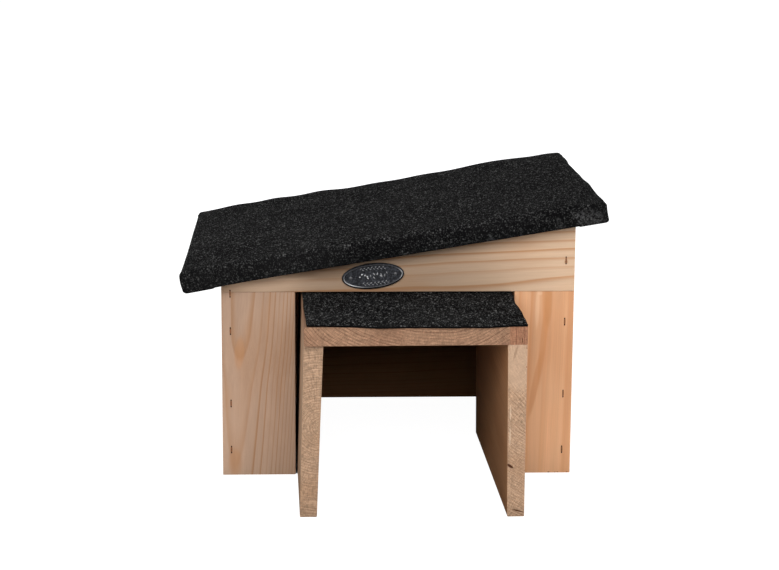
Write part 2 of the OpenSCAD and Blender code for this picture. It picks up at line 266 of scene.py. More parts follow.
def add_sheet(name, grid, thickness, material, body):
    """Adds a closed sheet of felt: the grid is its outer side and its inner side lies a thickness below,
    along the grid's normals. Four strips close the rim. The rim and the inner side are marked as cut."""
    rows, columns = grid.shape[:2]
    count = rows * columns
    inner = grid - grid_normals(grid) * thickness
    outer_faces = grid_faces(rows, columns)
    inner_faces = grid_faces(rows, columns, count)[:, ::-1]
    number = np.arange(count).reshape(rows, columns)
    loop = np.concatenate([number[0, :-1], number[:-1, -1], number[-1, :0:-1], number[:0:-1, 0]])
    following = np.roll(loop, -1)
    rim = np.stack([following, loop, loop + count, following + count], axis=-1)
    points = np.concatenate([grid.reshape(-1, 3), inner.reshape(-1, 3)])
    faces = np.concatenate([outer_faces, inner_faces, rim])
    piece = add_piece(name, points, faces.tolist(), material, body)
    add_attribute(piece.data, "cut", "FACE", np.arange(len(faces)) >= len(outer_faces))
    return piece


def dress_node(name, material):
    """Gives a CAD node its material."""
    NODES[name].data.materials.clear()
    NODES[name].data.materials.append(material)


# Shader nodes


class Graph:
    """Short ways to add nodes to a node tree. Most give the output that the next node takes."""

    def __init__(self, tree):
        self.tree = tree

    def add(self, kind, inputs=(), **settings):
        """Adds a node. inputs maps the names or numbers of its sockets to values or other nodes' outputs."""
        node = self.tree.nodes.new("ShaderNode" + kind)
        for name, value in settings.items():
            setattr(node, name, value)
        self.fill(node, inputs)
        return node

    def fill(self, node, inputs):
        """Sets or links a node's inputs."""
        for key, value in dict(inputs).items():
            if isinstance(value, bpy.types.NodeSocket):
                self.tree.links.new(value, node.inputs[key])
            else:
                node.inputs[key].default_value = value

    def place(self, build, inputs):
        """Adds a node for a group, which has its function's name and is built when it is first placed."""
        node = self.tree.nodes.new("ShaderNodeGroup")
        node.node_tree = bpy.data.node_groups.get(build.__name__) or build()
        self.fill(node, inputs)
        return node.outputs

    def math(self, operation, *values):
        """Result of a Math node."""
        return self.add("Math", enumerate(values), operation=operation).outputs[0]

    def product(self, *values):
        """Product of all the values."""
        return reduce(partial(self.math, "MULTIPLY"), values)

    def total(self, *values):
        """Sum of all the values."""
        return reduce(partial(self.math, "ADD"), values)

    def greatest(self, *values):
        """Greatest of all the values."""
        return reduce(partial(self.math, "MAXIMUM"), values)

    def sway(self, noise, spread):
        """A number round 1 that grows by the spread as a noise goes from 0 to 1."""
        return self.math("MULTIPLY_ADD", noise, spread, 1 - spread / 2)

    def vector(self, operation, *values):
        """Vector that a Vector Math node gives."""
        return self.add("VectorMath", enumerate(values), operation=operation).outputs["Vector"]

    def measure(self, operation, *values):
        """Number that a Vector Math node gives, such as a length."""
        return self.add("VectorMath", enumerate(values), operation=operation).outputs["Value"]

    def scaled(self, vector, factor):
        """A vector times a number."""
        return self.add("VectorMath", {0: vector, "Scale": factor}, operation="SCALE").outputs[0]

    def part(self, vector, axis):
        """The X, Y or Z of a vector."""
        return self.add("SeparateXYZ", {0: vector}).outputs[axis]

    def join(self, x, y, z):
        """A vector of three numbers."""
        return self.add("CombineXYZ", {0: x, 1: y, 2: z}).outputs[0]

    def rise(self, value, low, high, low_result=0.0, high_result=1.0):
        """Goes smoothly from one result to the other as the value goes from low to high, and holds there."""
        inputs = {"Value": value, "From Min": low, "From Max": high}
        inputs.update({"To Min": low_result, "To Max": high_result})
        return self.add("MapRange", inputs, interpolation_type="SMOOTHSTEP").outputs[0]

    def within(self, value, start, low, high, end):
        """1 from low to high, and falling smoothly to 0 at start and end."""
        return self.product(self.rise(value, start, low), self.rise(value, end, high))

    def blend(self, factor, first, second, blend_type="MIX"):
        """Mixes two colours."""
        inputs = {0: factor, 6: first, 7: second}
        return self.add("Mix", inputs, data_type="RGBA", blend_type=blend_type).outputs[2]

    def noise(self, position, size, detail=2.0, roughness=0.5, output="Fac"):
        """Noise whose lumps have the given size, which is one number or one for each axis."""
        stretched = self.vector("DIVIDE", position, np.broadcast_to(size, 3).tolist())
        inputs = {"Vector": stretched, "Scale": 1.0, "Detail": detail, "Roughness": roughness}
        return self.add("TexNoise", inputs).outputs[output]

    def bump(self, height, strength, distance):
        """Normal bent by a height."""
        inputs = {"Height": height, "Strength": strength, "Distance": distance}
        return self.add("Bump", inputs).outputs["Normal"]


def new_group(name, inputs, outputs):
    """An empty shader group with the given sockets: its graph, its inputs' outputs and its output node."""
    group = bpy.data.node_groups.new(name, "ShaderNodeTree")
    for in_out, sockets in (("INPUT", inputs), ("OUTPUT", outputs)):
        for socket, kind in sockets.items():
            group.interface.new_socket(name=socket, in_out=in_out, socket_type="NodeSocket" + kind)
    given = group.nodes.new("NodeGroupInput")
    result = group.nodes.new("NodeGroupOutput")
    return group, Graph(group), given.outputs, result


def emptied(holder):
    """Graph of a material or a world without nodes."""
    holder.use_nodes = True
    holder.node_tree.nodes.clear()
    return Graph(holder.node_tree)


def new_material(name):
    """An empty node material: the material, its graph and its Principled shader."""
    material = bpy.data.materials.new(name)
    graph = emptied(material)
    shader = graph.add("BsdfPrincipled")
    graph.add("OutputMaterial", {"Surface": shader.outputs[0]})
    return material, graph, shader


def opaque(colour, factor=1.0):
    """A colour times a factor, with its alpha."""
    return (*(factor * value for value in colour), 1.0)


# Softwood


def figure_inputs(**figure):
    """Values by the names of the softwood group's inputs: ring_width becomes Ring Width."""
    return {name.replace("_", " ").title(): value for name, value in figure.items()}


# Widths, wavers and places along the grain are in millimetres, the places from the middle of the board
USUAL_FIGURE = figure_inputs(
    ring_width=4.5,
    narrowing=1.0,
    phase=0.0,
    waver=9.0,
    late_share=0.45,
    contrast=0.75,
    swerve=(0, 0, 0),
    swerve_from=-60.0,
    swerve_to=60.0,
    fade=1.0,
    fade_from=-1.0,
    fade_to=1.0,
)

# Sizes of the wood's noises in millimetres: twice across the grain, and along it
SLOW_WANDER = (90, 90, 330)
QUICK_WANDER = (24, 24, 110)
FIBRES = (0.8, 0.8, 60)
STREAKS = (5, 5, 240)
CLOUDS = (30, 30, 110)
END_FLECKS = (1.6, 1.6, 5)
# Sizes of the noises that follow the rings: outwards from the heart, round it and along it
RING_STREAKS = (0.8, 6, 5)
RAYS = (5, 0.7, 5)
# Shares of a ring at which its late wood is darkest, and at which it starts to end
LATE_PEAK = 0.92
LATE_END = 0.88
# Nearest that the heart counts as lying to a board's middle, where the ring streaks get their length
LEAST_HEART_DISTANCE = 25.0


def trunk_place(graph, given, along):
    """Vectors to a point from the heart, before and after the heart wanders. The heart swerves between two
    places along the grain, and wanders by a slow and a quick noise. The second vector is level."""
    turn = graph.rise(along, given["Swerve From"], given["Swerve To"])
    heart = graph.vector("SUBTRACT", given["Position"], graph.scaled(given["Swerve"], turn))
    half = (0.5, 0.5, 0.5)
    slow = graph.noise(given["Position"], SLOW_WANDER, 1, output="Color")
    quick = graph.noise(given["Position"], QUICK_WANDER, 1, output="Color")
    quick = graph.scaled(graph.vector("SUBTRACT", quick, half), 0.3)
    wander = graph.vector("ADD", graph.vector("SUBTRACT", slow, half), quick)
    wandered = graph.vector("ADD", heart, graph.scaled(wander, given["Waver"]))
    return heart, graph.vector("MULTIPLY", wandered, (1, 1, 0))


def late_wood(graph, given, radius):
    """How dark the late wood is. Rings are counted as (radius / ring width) to the power of the narrowing,
    plus a phase, and each ring has a strength of its own."""
    turns = graph.math("POWER", graph.math("DIVIDE", radius, given["Ring Width"]), given["Narrowing"])
    count = graph.math("ADD", turns, given["Phase"])
    place = graph.math("FRACT", count)
    ring = graph.math("FLOOR", count)
    chance = graph.add("TexWhiteNoise", {"W": ring}, noise_dimensions="1D").outputs["Value"]
    start = graph.math("SUBTRACT", LATE_PEAK, given["Late Share"])
    grown = graph.rise(place, start, LATE_PEAK)
    ended = graph.rise(place, LATE_END, 1.0, 1.0, 0.0)
    return graph.product(grown, ended, given["Contrast"], graph.math("MULTIPLY_ADD", chance, 0.6, 0.4))


def softwood_rings():
    """Group that shows a board as cut from a trunk. Positions are in millimetres from the heart, with Z along
    the grain. Rings darken towards their outer edge. Fibres are noise drawn out along the grain. Their cut
    ends show where the normal lies along the grain, with pale streaks that follow the rings and the rays.
    The fade is the brightness before a place along the grain; it grows to 1 at a second place. On the front
    boards it is painted light, and on the lintel it is partly painted shade."""
    inputs = {"Position": "Vector", "Normal": "Vector", "Early": "Color", "Late": "Color"}
    inputs.update(dict.fromkeys(["Heart Distance", *USUAL_FIGURE], "Float"), Swerve="Vector")
    outputs = {"Colour": "Color", "Height": "Float", "Roughness": "Float"}
    group, graph, given, result = new_group("softwood_rings", inputs, outputs)
    position = given["Position"]
    along = graph.part(position, "Z")
    heart, across = trunk_place(graph, given, along)
    radius = graph.measure("LENGTH", across)
    late = late_wood(graph, given, radius)

    fibre = graph.noise(heart, FIBRES, 3, 0.65)
    streak = graph.noise(heart, STREAKS)
    cloud = graph.noise(position, CLOUDS)
    fleck = graph.noise(position, END_FLECKS, 4, 0.75)
    angle = graph.math("ARCTAN2", graph.part(across, "Y"), graph.part(across, "X"))
    polar = graph.join(radius, graph.product(angle, given["Heart Distance"]), along)
    ring_streak = graph.noise(polar, RING_STREAKS, 4, 0.75)
    ray = graph.noise(polar, RAYS, 4, 0.75)

    cut_end = graph.rise(graph.math("ABSOLUTE", graph.part(given["Normal"], "Z")), 0.6, 0.9)
    flecks = graph.total(
        graph.rise(fleck, 0.54, 0.7, 0.0, 0.42),
        graph.rise(fleck, 0.44, 0.3, 0.0, -0.22),
        graph.rise(ring_streak, 0.45, 0.66, -0.08, 0.5),
        graph.rise(ray, 0.36, 0.64, -0.18, 0.2),
    )
    value = graph.product(graph.sway(fibre, 0.26), graph.sway(streak, 0.22), graph.sway(cloud, 0.16))
    value = graph.total(value, graph.product(flecks, cut_end))
    fade = graph.rise(along, given["Fade From"], given["Fade To"], given["Fade"], 1.0)
    value = graph.product(value, fade)

    colour = graph.blend(late, given["Early"], given["Late"])
    colour = graph.blend(graph.rise(cloud, 0.45, 0.7, 0.0, 0.35), colour, given["Late"])
    colour = graph.blend(1.0, colour, graph.join(value, value, value), "MULTIPLY")
    grain = graph.total(graph.product(fibre, 0.8), graph.product(late, 0.5))
    sawn = graph.total(fleck, ring_streak)
    height = graph.add("Mix", {0: cut_end, 2: grain, 3: sawn}, data_type="FLOAT").outputs[0]
    roughness = graph.math("MULTIPLY_ADD", late, -0.15, 0.68)
    graph.fill(result, {"Colour": colour, "Height": height, "Roughness": roughness})
    return group


def soft_spot():
    """Group that gives 1 in the middle of an ellipsoid, in metres, and falls smoothly to 0 at its surface.
    The ellipsoid leans towards +X by an angle."""
    inputs = {"Position": "Vector", "Centre": "Vector", "Half Size": "Vector", "Lean": "Float"}
    group, graph, given, result = new_group("soft_spot", inputs, {"Mask": "Float"})
    offset = graph.vector("SUBTRACT", given["Position"], given["Centre"])
    upright = {"Vector": offset, "Angle": graph.product(given["Lean"], -1.0)}
    upright = graph.add("VectorRotate", upright, rotation_type="Y_AXIS").outputs[0]
    reach = graph.measure("LENGTH", graph.vector("DIVIDE", upright, given["Half Size"]))
    graph.fill(result, {"Mask": graph.rise(reach, 0.55, 1.0, 1.0, 0.0)})
    return group


def spot_mask(graph, position, centre, half_size, lean=0.0):
    """Mask of one soft spot."""
    inputs = {"Position": position, "Centre": centre, "Half Size": half_size, "Lean": lean}
    return graph.place(soft_spot, inputs)["Mask"]


# Boards


def board(grain, pith, lean=(0, 0, 0), tone="wood", **figure):
    """One board's figure. grain is the axis along which the fibres run. pith is where the heart of its trunk
    passes, in millimetres from the middle of the board, and lean is how far the heart moves sideways for each
    millimetre along the grain. figure holds inputs of the softwood group that differ from the usual ones."""
    return {"grain": grain, "pith": pith, "lean": lean, "tone": tone, "figure": figure_inputs(**figure)}


# A place along the grain past the end of every board: what fades from there is faded all over
PAST_THE_END = 400.0
# Half of the front boards' height in millimetres: their foot lies so far before their middle
FRONT_HALF = float(np.ptp(node_box("front_left_board")[:, 2])) / 2 / MM

BOARDS = {
    # Painted shade, partly: the lintel's fade darkens its left and middle where the roof's wide shadow falls;
    # the rest is the board's own tone
    "front_lintel": board(
        "x", (0, 16.5, -43), (0, -0.02, 0.035), "lintel",
        ring_width=7.4, waver=13, late_share=0.4, contrast=1.0, fade=0.57, fade_from=20.0, fade_to=180.0,
    ),
    # Painted light: the front boards' fades brighten their lower parts, as light thrown up by the floor would
    "front_left_board": board(
        "z", (-18.7, 11.0, 0), (0.044, -0.048, 0), "left",
        ring_width=17.3, narrowing=2.0, phase=0.07, waver=4.0, late_share=0.35, contrast=1.0,
        swerve=(0, -4.1, 0), swerve_from=-5.0, swerve_to=55.0,
        fade=1.27, fade_from=-FRONT_HALF, fade_to=60.0,
    ),
    "front_right_board": board(
        "z", (89, 0, 0), (0.02, 0, 0), "right",
        ring_width=74.3, narrowing=3.0, phase=0.17, waver=4, contrast=0.7,
        fade=1.37, fade_from=-FRONT_HALF, fade_to=60.0,
    ),
    "left_side_board": board("y", (30, 0, 30), (0.02, 0, 0.05), "left"),
    "left_side_strip": board("y", (-20, 0, -40), (0, 0, 0.02), "left"),
    "right_side_board": board("y", (-26, 0, -20), (0.02, 0, -0.04), "right"),
    "right_side_upper_board": board("y", (-24, 0, -60), (0.01, 0, 0.05), "lintel"),
    "back_lower_board": board("x", (0, -30, 25), (0, 0.02, 0.04), "lintel", waver=14),
    "back_upper_board": board("x", (0, 18, -45), (0, 0, 0.05), "lintel"),
    "roof_front_board": board("x", (0, 10, -40), (0, 0.04, 0.02)),
    "roof_back_board": board("x", (0, -15, 42), (0, 0.03, -0.02)),
    "roof_left_batten": board("y", (-24, 0, 20), (0.01, 0, 0)),
    "roof_right_batten": board("y", (26, 0, 18), (0.01, 0, 0)),
    "tunnel_left_wall": board(
        "y", (9, 0, 6), (-0.006, 0, 0.01), "leg",
        ring_width=2.5, waver=4, contrast=0.65, fade=0.9, fade_from=PAST_THE_END, fade_to=PAST_THE_END + 1,
    ),
    "tunnel_right_wall": board(
        "y", (90, 0, 110), (0.004, 0, 0.03), "leg", ring_width=2.6, waver=7, contrast=0.75
    ),
    # Painted shade, partly: the tunnel roof board and strip get darker colours for the shade below the felt's
    # front edge
    "tunnel_roof_board": board(
        "y", (21, 0, 116), (-0.006, 0, 0.02), "tunnel", ring_width=2.9, waver=12, contrast=1.0
    ),
    "tunnel_roof_strip": board(
        "y", (70, 0, 4), (-0.006, 0, 0.01), "strip", ring_width=3.6, waver=7, contrast=0.9
    ),
}

# The way from a board into the space that it encloses, by the start of the board's name; the sides that face
# it get painted shade
INWARD = {
    "front": (0, 1, 0),
    "back": (0, -1, 0),
    "left": (1, 0, 0),
    "right": (-1, 0, 0),
    "roof": (0, 0, -1),
    "tunnel_left": (1, 0, 0),
    "tunnel_right": (-1, 0, 0),
    "tunnel_roof": (0, 0, -1),
}


def mark(x, z, length, width, lean=0, tint="bruise"):
    """A mark in a board's front: its middle in millimetres from the board's left side and from the ground,
    its length and width, how many degrees its upper end leans to the right, and its tint."""
    return {"place": (x, z), "size": (length, width), "lean": math.radians(lean), "tint": tint}


# Place of the lintel's staple, which sits in a small knot
LINTEL_STAPLE = (331.5, 211)
# The marks of the tunnel's boards are measured from the left side of the tunnel's roof
MARKS = {
    "front_lintel": [
        # Painted light: the broad pale patch lightens the lintel's left end against the shade of its fade
        mark(34, 196, 34, 110, 0, "pale"),
        # Painted shade, partly: these stains darken the lintel high in its middle where the roof's shadow
        # falls, with darker wood there
        mark(62, 205, 20, 70, 9, "stain_and_shade"),
        mark(98, 207, 34, 90, 8, "stain_and_shade"),
        mark(110, 211, 14, 34, 0, "stain_and_shade"),
        mark(*LINTEL_STAPLE, 6, 5, 0, "resin"),
        mark(*LINTEL_STAPLE, 3.4, 3),
    ],
    "front_left_board": [mark(17, 122, 40, 12, 4, "resin"), mark(12, 12, 36, 16, 0, "resin")],
    "front_right_board": [
        mark(31.5, 182, 96, 12, 0, "amber"),
        mark(29, 134, 110, 8, 5, "amber"),
        mark(33, 172, 60, 10, 0, "resin"),
        mark(22, 90, 84, 8, 10, "amber"),
        mark(22.5, 166, 50, 5, 1, "pale"),
        mark(25, 180.3, 5, 5, 0, "pale"),
        mark(36.8, 0.4, 2.4, 2.6),
        mark(43.2, 0.3, 2, 1.4),
        mark(45.6, 0.3, 2.6, 1.2),
        mark(55.1, 0.5, 2.6, 1.6),
    ],
    "tunnel_right_wall": [
        mark(194, 142, 60, 36, 0, "smooth"),
        mark(187.3, 48.1, 9, 3.0, 124, "crack"),
        mark(195, 5.6, 13, 1.6, 104, "crack"),
        mark(200.5, 140.8, 1.8, 1.6),
        mark(200.6, 158.3, 1.8, 1.6),
        mark(190.5, 154, 17, 3, 16, "stain_and_shade"),
        mark(186.8, 98, 18, 1.6, 0, "fibre"),
        mark(186.8, 76, 22, 1.6, 0, "fibre"),
        mark(202.8, 64, 60, 1.0, 0, "fibre"),
    ],
    "tunnel_left_wall": [
        mark(0.6, 84, 52, 1.8, 0, "fibre"),
        mark(8, 44, 8, 7, 0, "pale"),
        mark(10, 30, 5, 8, 40, "pale"),
    ],
    "tunnel_roof_strip": [mark(196.5, 165.4, 6.5, 1, 0, "crack")],
}
MARK_STRENGTHS = {
    "bruise": 0.75,
    "crack": 1.0,
    "resin": 0.38,
    "amber": 0.6,
    "pale": 0.25,
    "smooth": 0.55,
    "stain_and_shade": 0.4,
    "fibre": 0.4,
}
# How deep marks and bruises reach, and how far a bruise reaches past its staple
MARK_DEPTH = 3 * MM
BRUISE_DEPTH = 1.5 * MM
BRUISE_MARGIN = np.array([0.5, 0, 1.3]) * MM


def front_marks(name):
    """Centre, half size, lean and tint of the marks in a board's front."""
    found = []
    for given in MARKS.get(name, ()):
        x, z = (value * MM for value in given["place"])
        length, width = (value * MM for value in given["size"])
        if name.startswith("tunnel"):
            centre = TUNNEL.world(x, 0.0, z)
        else:
            low = node_box(name)[0]
            centre = np.array([low[0] + x, low[1], z])
        half_size = (width / 2, MARK_DEPTH, length / 2)
        found.append((centre.tolist(), half_size, given["lean"], given["tint"]))
    return found


def staple_marks(name):
    """Bruises in a board round the staples in its own surface: each is a little taller than the crown."""
    low, high = node_box(name)
    found = []
    for staples in ("front_staples", "back_staples"):
        for first, last in solids_of(staples):
            crown = (first + last) / 2
            crown[1] = first[1] if staples == "front_staples" else last[1]
            if np.all(crown > low - 2 * MM) and np.all(crown < high + 2 * MM):
                half_size = (last - first) / 2 + BRUISE_MARGIN
                half_size[1] = BRUISE_DEPTH
                found.append((crown.tolist(), half_size.tolist(), 0.0, "bruise"))
    return found


def trunk_turn(grain, lean):
    """Rotation from the row frame to the trunk's frame, whose Z is the grain axis leaned over. Its rows are
    the trunk's axes; the other two follow the grain's in turn, so that the frame is right-handed."""
    axis = "xyz".index(grain)
    third = np.eye(3)[axis] + np.array(lean, float)
    third /= np.linalg.norm(third)
    second = np.cross(third, np.eye(3)[(axis + 1) % 3])
    second /= np.linalg.norm(second)
    return np.array([np.cross(second, third), second, third])


def trunk_inputs(graph, name, coordinates, settings):
    """The softwood group's inputs for one board: where it lay in its trunk, its colours and its figure."""
    spec = BOARDS[name]
    turn = trunk_turn(spec["grain"], spec["lean"])
    heart = node_box(name).sum(0) / 2 + np.array(spec["pith"], float) * MM
    angles = Matrix(turn.tolist()).to_euler("XYZ")
    place = {
        "Vector": coordinates["Object"],
        "Location": (-turn @ heart / MM).tolist(),
        "Rotation": angles,
        "Scale": (1 / MM,) * 3,
    }
    aim = {"Vector": coordinates["Normal"], "Rotation": angles}
    figure = {**USUAL_FIGURE, **spec["figure"]}
    figure["Swerve"] = (turn @ np.array(figure["Swerve"], float)).tolist()
    return {
        "Position": graph.add("Mapping", place, vector_type="POINT").outputs[0],
        "Normal": graph.add("Mapping", aim, vector_type="VECTOR").outputs[0],
        "Heart Distance": max(LEAST_HEART_DISTANCE, float(np.linalg.norm(spec["pith"]))),
        "Early": opaque(getattr(settings, spec["tone"] + "_early")),
        "Late": opaque(getattr(settings, spec["tone"] + "_late")),
        **figure,
    }


def wood_material(name, settings):
    """Material of one board: softwood as it lay in the trunk, with its marks and painted shade on its inner
    side.
    """
    material, graph, shader = new_material("wood_" + name)
    coordinates = graph.add("TexCoord").outputs
    wood = graph.place(softwood_rings, trunk_inputs(graph, name, coordinates, settings))
    colour = wood["Colour"]
    for centre, half_size, lean, tint in staple_marks(name) + front_marks(name):
        mask = spot_mask(graph, coordinates["Object"], centre, half_size, lean)
        tint_share = graph.product(mask, MARK_STRENGTHS[tint])
        colour = graph.blend(tint_share, colour, opaque(getattr(settings, tint + "_colour")))
    # Painted shade: sides that face into the house are darkened, and sides that face into the tunnel are
    # turned redder
    start = max((start for start in INWARD if name.startswith(start)), key=len)
    facing = graph.measure("DOT_PRODUCT", coordinates["Normal"], INWARD[start])
    inner_painted_shade = settings.passage_tint if name.startswith("tunnel") else settings.inside_tint
    colour = graph.blend(graph.rise(facing, 0.7, 0.95), colour, opaque(inner_painted_shade), "MULTIPLY")
    finish = {
        "Base Color": colour,
        "Roughness": wood["Roughness"],
        "Normal": graph.bump(wood["Height"], settings.grain_relief, 0.3 * MM),
        "Specular IOR Level": 0.15,
    }
    graph.fill(shader, finish)
    return material


# Settings


def colour_setting(name, description, default):
    """A colour that the user can set."""
    return FloatVectorProperty(name=name, description=description, subtype="COLOR", default=default)


def early_setting(wood, default):
    """The colour of the pale part of a wood's rings."""
    return colour_setting(wood + ", early wood", "Pale part of each ring", default)


def late_setting(wood, default):
    """The colour of the dark part of a wood's rings."""
    return colour_setting(wood + ", late wood", "Dark part of each ring", default)


def number_setting(name, description, default, **kind):
    """A number that the user can set. kind holds its unit or its limits."""
    return FloatProperty(name=name, description=description, default=default, **kind)


def length_setting(name, description, default):
    """A length that the user can set, in metres."""
    return number_setting(name, description, default, unit="LENGTH")


def angle_setting(name, description, degrees):
    """An angle that the user can set."""
    return number_setting(name, description, math.radians(degrees), subtype="ANGLE")


def power_setting(name, description, default):
    """A light's power that the user can set, in watts."""
    return number_setting(name, description, default, unit="POWER")


class WoodSettings(bpy.types.PropertyGroup):
    """Colours of the boards, with those of the early and the late wood in pairs."""

    lintel_early: early_setting("Lintel", (0.579, 0.402, 0.272))
    lintel_late: late_setting("Lintel", (0.45, 0.23, 0.108))
    left_early: early_setting("Left board", (0.358, 0.237, 0.165))
    left_late: late_setting("Left board", (0.285, 0.15, 0.075))
    right_early: early_setting("Right board", (0.6, 0.332, 0.184))
    right_late: late_setting("Right board", (0.526, 0.235, 0.103))
    leg_early: early_setting("Tunnel walls", (0.339, 0.219, 0.141))
    leg_late: late_setting("Tunnel walls", (0.233, 0.126, 0.067))
    # The tunnel roof and strip colours are darker partly as painted shade below the felt's front edge, partly
    # as end grain
    tunnel_early: early_setting("Tunnel roof", (0.246, 0.141, 0.0854))
    tunnel_late: late_setting("Tunnel roof", (0.119, 0.0546, 0.0308))
    strip_early: early_setting("Tunnel strip", (0.255, 0.124, 0.0704))
    strip_late: late_setting("Tunnel strip", (0.145, 0.0564, 0.032))
    wood_early: early_setting("Other boards", (0.56, 0.38, 0.25))
    wood_late: late_setting("Other boards", (0.40, 0.22, 0.12))
    bruise_colour: colour_setting("Bruises", "Wood round a driven staple", (0.2, 0.08, 0.032))
    crack_colour: colour_setting("Cracks", "Depth of a crack", (0.055, 0.016, 0.005))
    resin_colour: colour_setting("Resin", "Wood soaked with resin", (0.42, 0.2, 0.085))
    amber_colour: colour_setting("Amber streaks", "Orange streaks of the right board", (0.56, 0.25, 0.105))
    # Chips; on the lintel's left end the same colour is painted light
    pale_colour: colour_setting("Chips", "Fresh wood in a chip", (0.78, 0.55, 0.38))
    smooth_colour: colour_setting("Smooth ends", "End grain that is left smooth", (0.46, 0.315, 0.215))
    # Stains: darker wood, and on the lintel partly painted shade below the roof
    stain_and_shade_colour: colour_setting("Stains", "Wood darkened by age", (0.16, 0.09, 0.05))
    fibre_colour: colour_setting("Torn fibres", "Frayed arrises and ends", (0.72, 0.56, 0.42))
    # Painted shade on the sides that face inwards: darker inside the house, redder inside the tunnel
    inside_tint: colour_setting("Inner sides", "Tint of the unplaned inner sides", (0.35, 0.24, 0.15))
    passage_tint: colour_setting("Passage", "Tint of the tunnel's inner sides", (1.25, 0.98, 0.75))
    grain_relief: number_setting("Grain relief", "Strength of the fibres in the light", 0.35, min=0, max=1)


class MetalSettings(bpy.types.PropertyGroup):
    """Colours of the staples and the badge."""

    staple_colour: colour_setting("Staples", "Lacquered wire", (0.23, 0.09, 0.04))
    # Painted shade at the ends of the front staples' crowns, where the wire goes into its holes
    staple_end_colour: colour_setting("Staple ends", "Wire that enters the wood", (0.018, 0.006, 0.002))
    badge_dark: colour_setting("Badge, recesses", "Patina in the field", (0.022, 0.023, 0.027))
    badge_bright: colour_setting("Badge, relief", "Rubbed metal", (0.62, 0.62, 0.63))


class FeltSettings(bpy.types.PropertyGroup):
    """Colours and folds of the roofing felt."""

    base_colour: colour_setting("Bitumen", "Colour between the grit", (0.0032, 0.0032, 0.0034))
    grit_colour: colour_setting("Grit", "Colour of the brightest grit", (0.115, 0.115, 0.113))
    cut_colour: colour_setting("Cut edge", "Colour of the edges and the inner side", (0.003, 0.003, 0.003))
    scuff_colour: colour_setting("Scuffs", "Colour of rubbed felt", (0.075, 0.075, 0.076))
    grit_size: number_setting("Grit size", "Size of a grain in millimetres", 0.9)
    top_bend: length_setting("Top bend", "Outer radius over the roof's edges", 4.2 * MM)
    under_bend: length_setting("Under bend", "Outer radius under the roof's edges", 1.9 * MM)
    stand_off: length_setting("Stand-off", "Space between felt and board edges", 0.4 * MM)
    ripple: length_setting("Ripple", "Typical height of the waves in the felt", 0.3 * MM)


class StageSettings(bpy.types.PropertyGroup):
    """Camera and light."""

    camera_place: FloatVectorProperty(
        name="Camera",
        description="Place of the camera",
        subtype="TRANSLATION",
        default=(-0.09014, -1.97645, 0.57398),
    )
    camera_pitch: angle_setting("Pitch", "Downward tilt", 11.563)
    camera_yaw: angle_setting("Yaw", "Turn towards the right", 2.608)
    camera_roll: angle_setting("Roll", "Turn about the view", -0.362)
    camera_lens: number_setting("Lens", "Focal length in millimetres", 92.43, unit="CAMERA")
    ambient: number_setting("Ambient", "Light from straight above", 0.4)
    horizon: number_setting("Horizon", "Light from the horizon", 0.03)
    key: power_setting("Key light", "Power of the large light at the right", 68.0)
    fill: power_setting("Fill light", "Power of the light at the left", 29.0)
    back: power_setting("Back light", "Power of the light behind the house", 36.0)
    side: power_setting("Side lights", "Power of the light at each side", 16.0)
    floor_glow: number_setting("Floor glow", "White that the camera sees in the floor", 0.97)


class HEDGEHOG_OT_boards(bpy.types.Operator):
    """Gives every board its own piece of trunk"""

    bl_idname = "hedgehog.boards"
    bl_label = "Boards"

    def execute(self, context):
        for name, spec in BOARDS.items():
            dress_node(name, wood_material(name, context.scene.hedgehog_wood))
        return {"FINISHED"}


# Staples


# Half size of the painted shade at each end of a crown, where the wire goes into its hole
CROWN_END_SHADE = (2 * MM, 3 * MM, 1.7 * MM)


def wire_material(settings, name, crowns=()):
    """Browned wire with rust spots. The upper and lower ends of the given crowns get painted shade, where the
    wire goes into its holes.
    """
    material, graph, shader = new_material(name)
    position = graph.add("TexCoord").outputs["Object"]
    spots = graph.noise(position, 0.6 * MM, 3, 0.6)
    rust = graph.rise(spots, 0.4, 0.65)
    colour = graph.blend(rust, opaque(settings.staple_colour), opaque(settings.staple_colour, 0.45))
    # Painted shade at both ends of each crown
    for low, high in crowns:
        for end in (low[2], high[2]):
            centre = ((low[0] + high[0]) / 2, low[1], end)
            mask = spot_mask(graph, position, centre, CROWN_END_SHADE)
            colour = graph.blend(mask, colour, opaque(settings.staple_end_colour))
    finish = {
        "Base Color": colour,
        "Metallic": 0.0,
        "Roughness": graph.rise(spots, 0.3, 0.7, 0.5, 0.75),
        "Specular IOR Level": 0.15,
        "Normal": graph.bump(spots, 0.3, 0.1 * MM),
    }
    graph.fill(shader, finish)
    return material


class HEDGEHOG_OT_staples(bpy.types.Operator):
    """Gives the staples their browned wire"""

    bl_idname = "hedgehog.staples"
    bl_label = "Staples"

    def execute(self, context):
        settings = context.scene.hedgehog_metal
        wire = wire_material(settings, "staple_wire")
        front_wire = wire_material(settings, "front_staple_wire", solids_of("front_staples"))
        for name in NODES:
            if name.endswith("staples"):
                dress_node(name, front_wire if name == "front_staples" else wire)
        return {"FINISHED"}


# Felt


# Layers of grit: size of the cells as a share of the grit size, brightness from which they show, and strength
GRIT_LAYERS = ((1.0, 0.6, 0.55), (1.9, 0.74, 0.85))

# Scuffs on the front of the roof felt: millimetres from its right end and below its highest point, length,
# width, degrees by which the upper end leans to the right, and strength
FELT_SCUFFS = (
    (17, 15, 20, 34, 10, 0.45),
    (28, 13, 9, 11, 0, 0.6),
    (30, 16, 26, 2.5, -42, 0.7),
    (46, 20, 8, 16, 60, 0.3),
    (112, 36, 9, 14, 70, 0.5),
)
# How deep the scuffs reach, from the felt's foremost point
SCUFF_DEPTH = 8 * MM


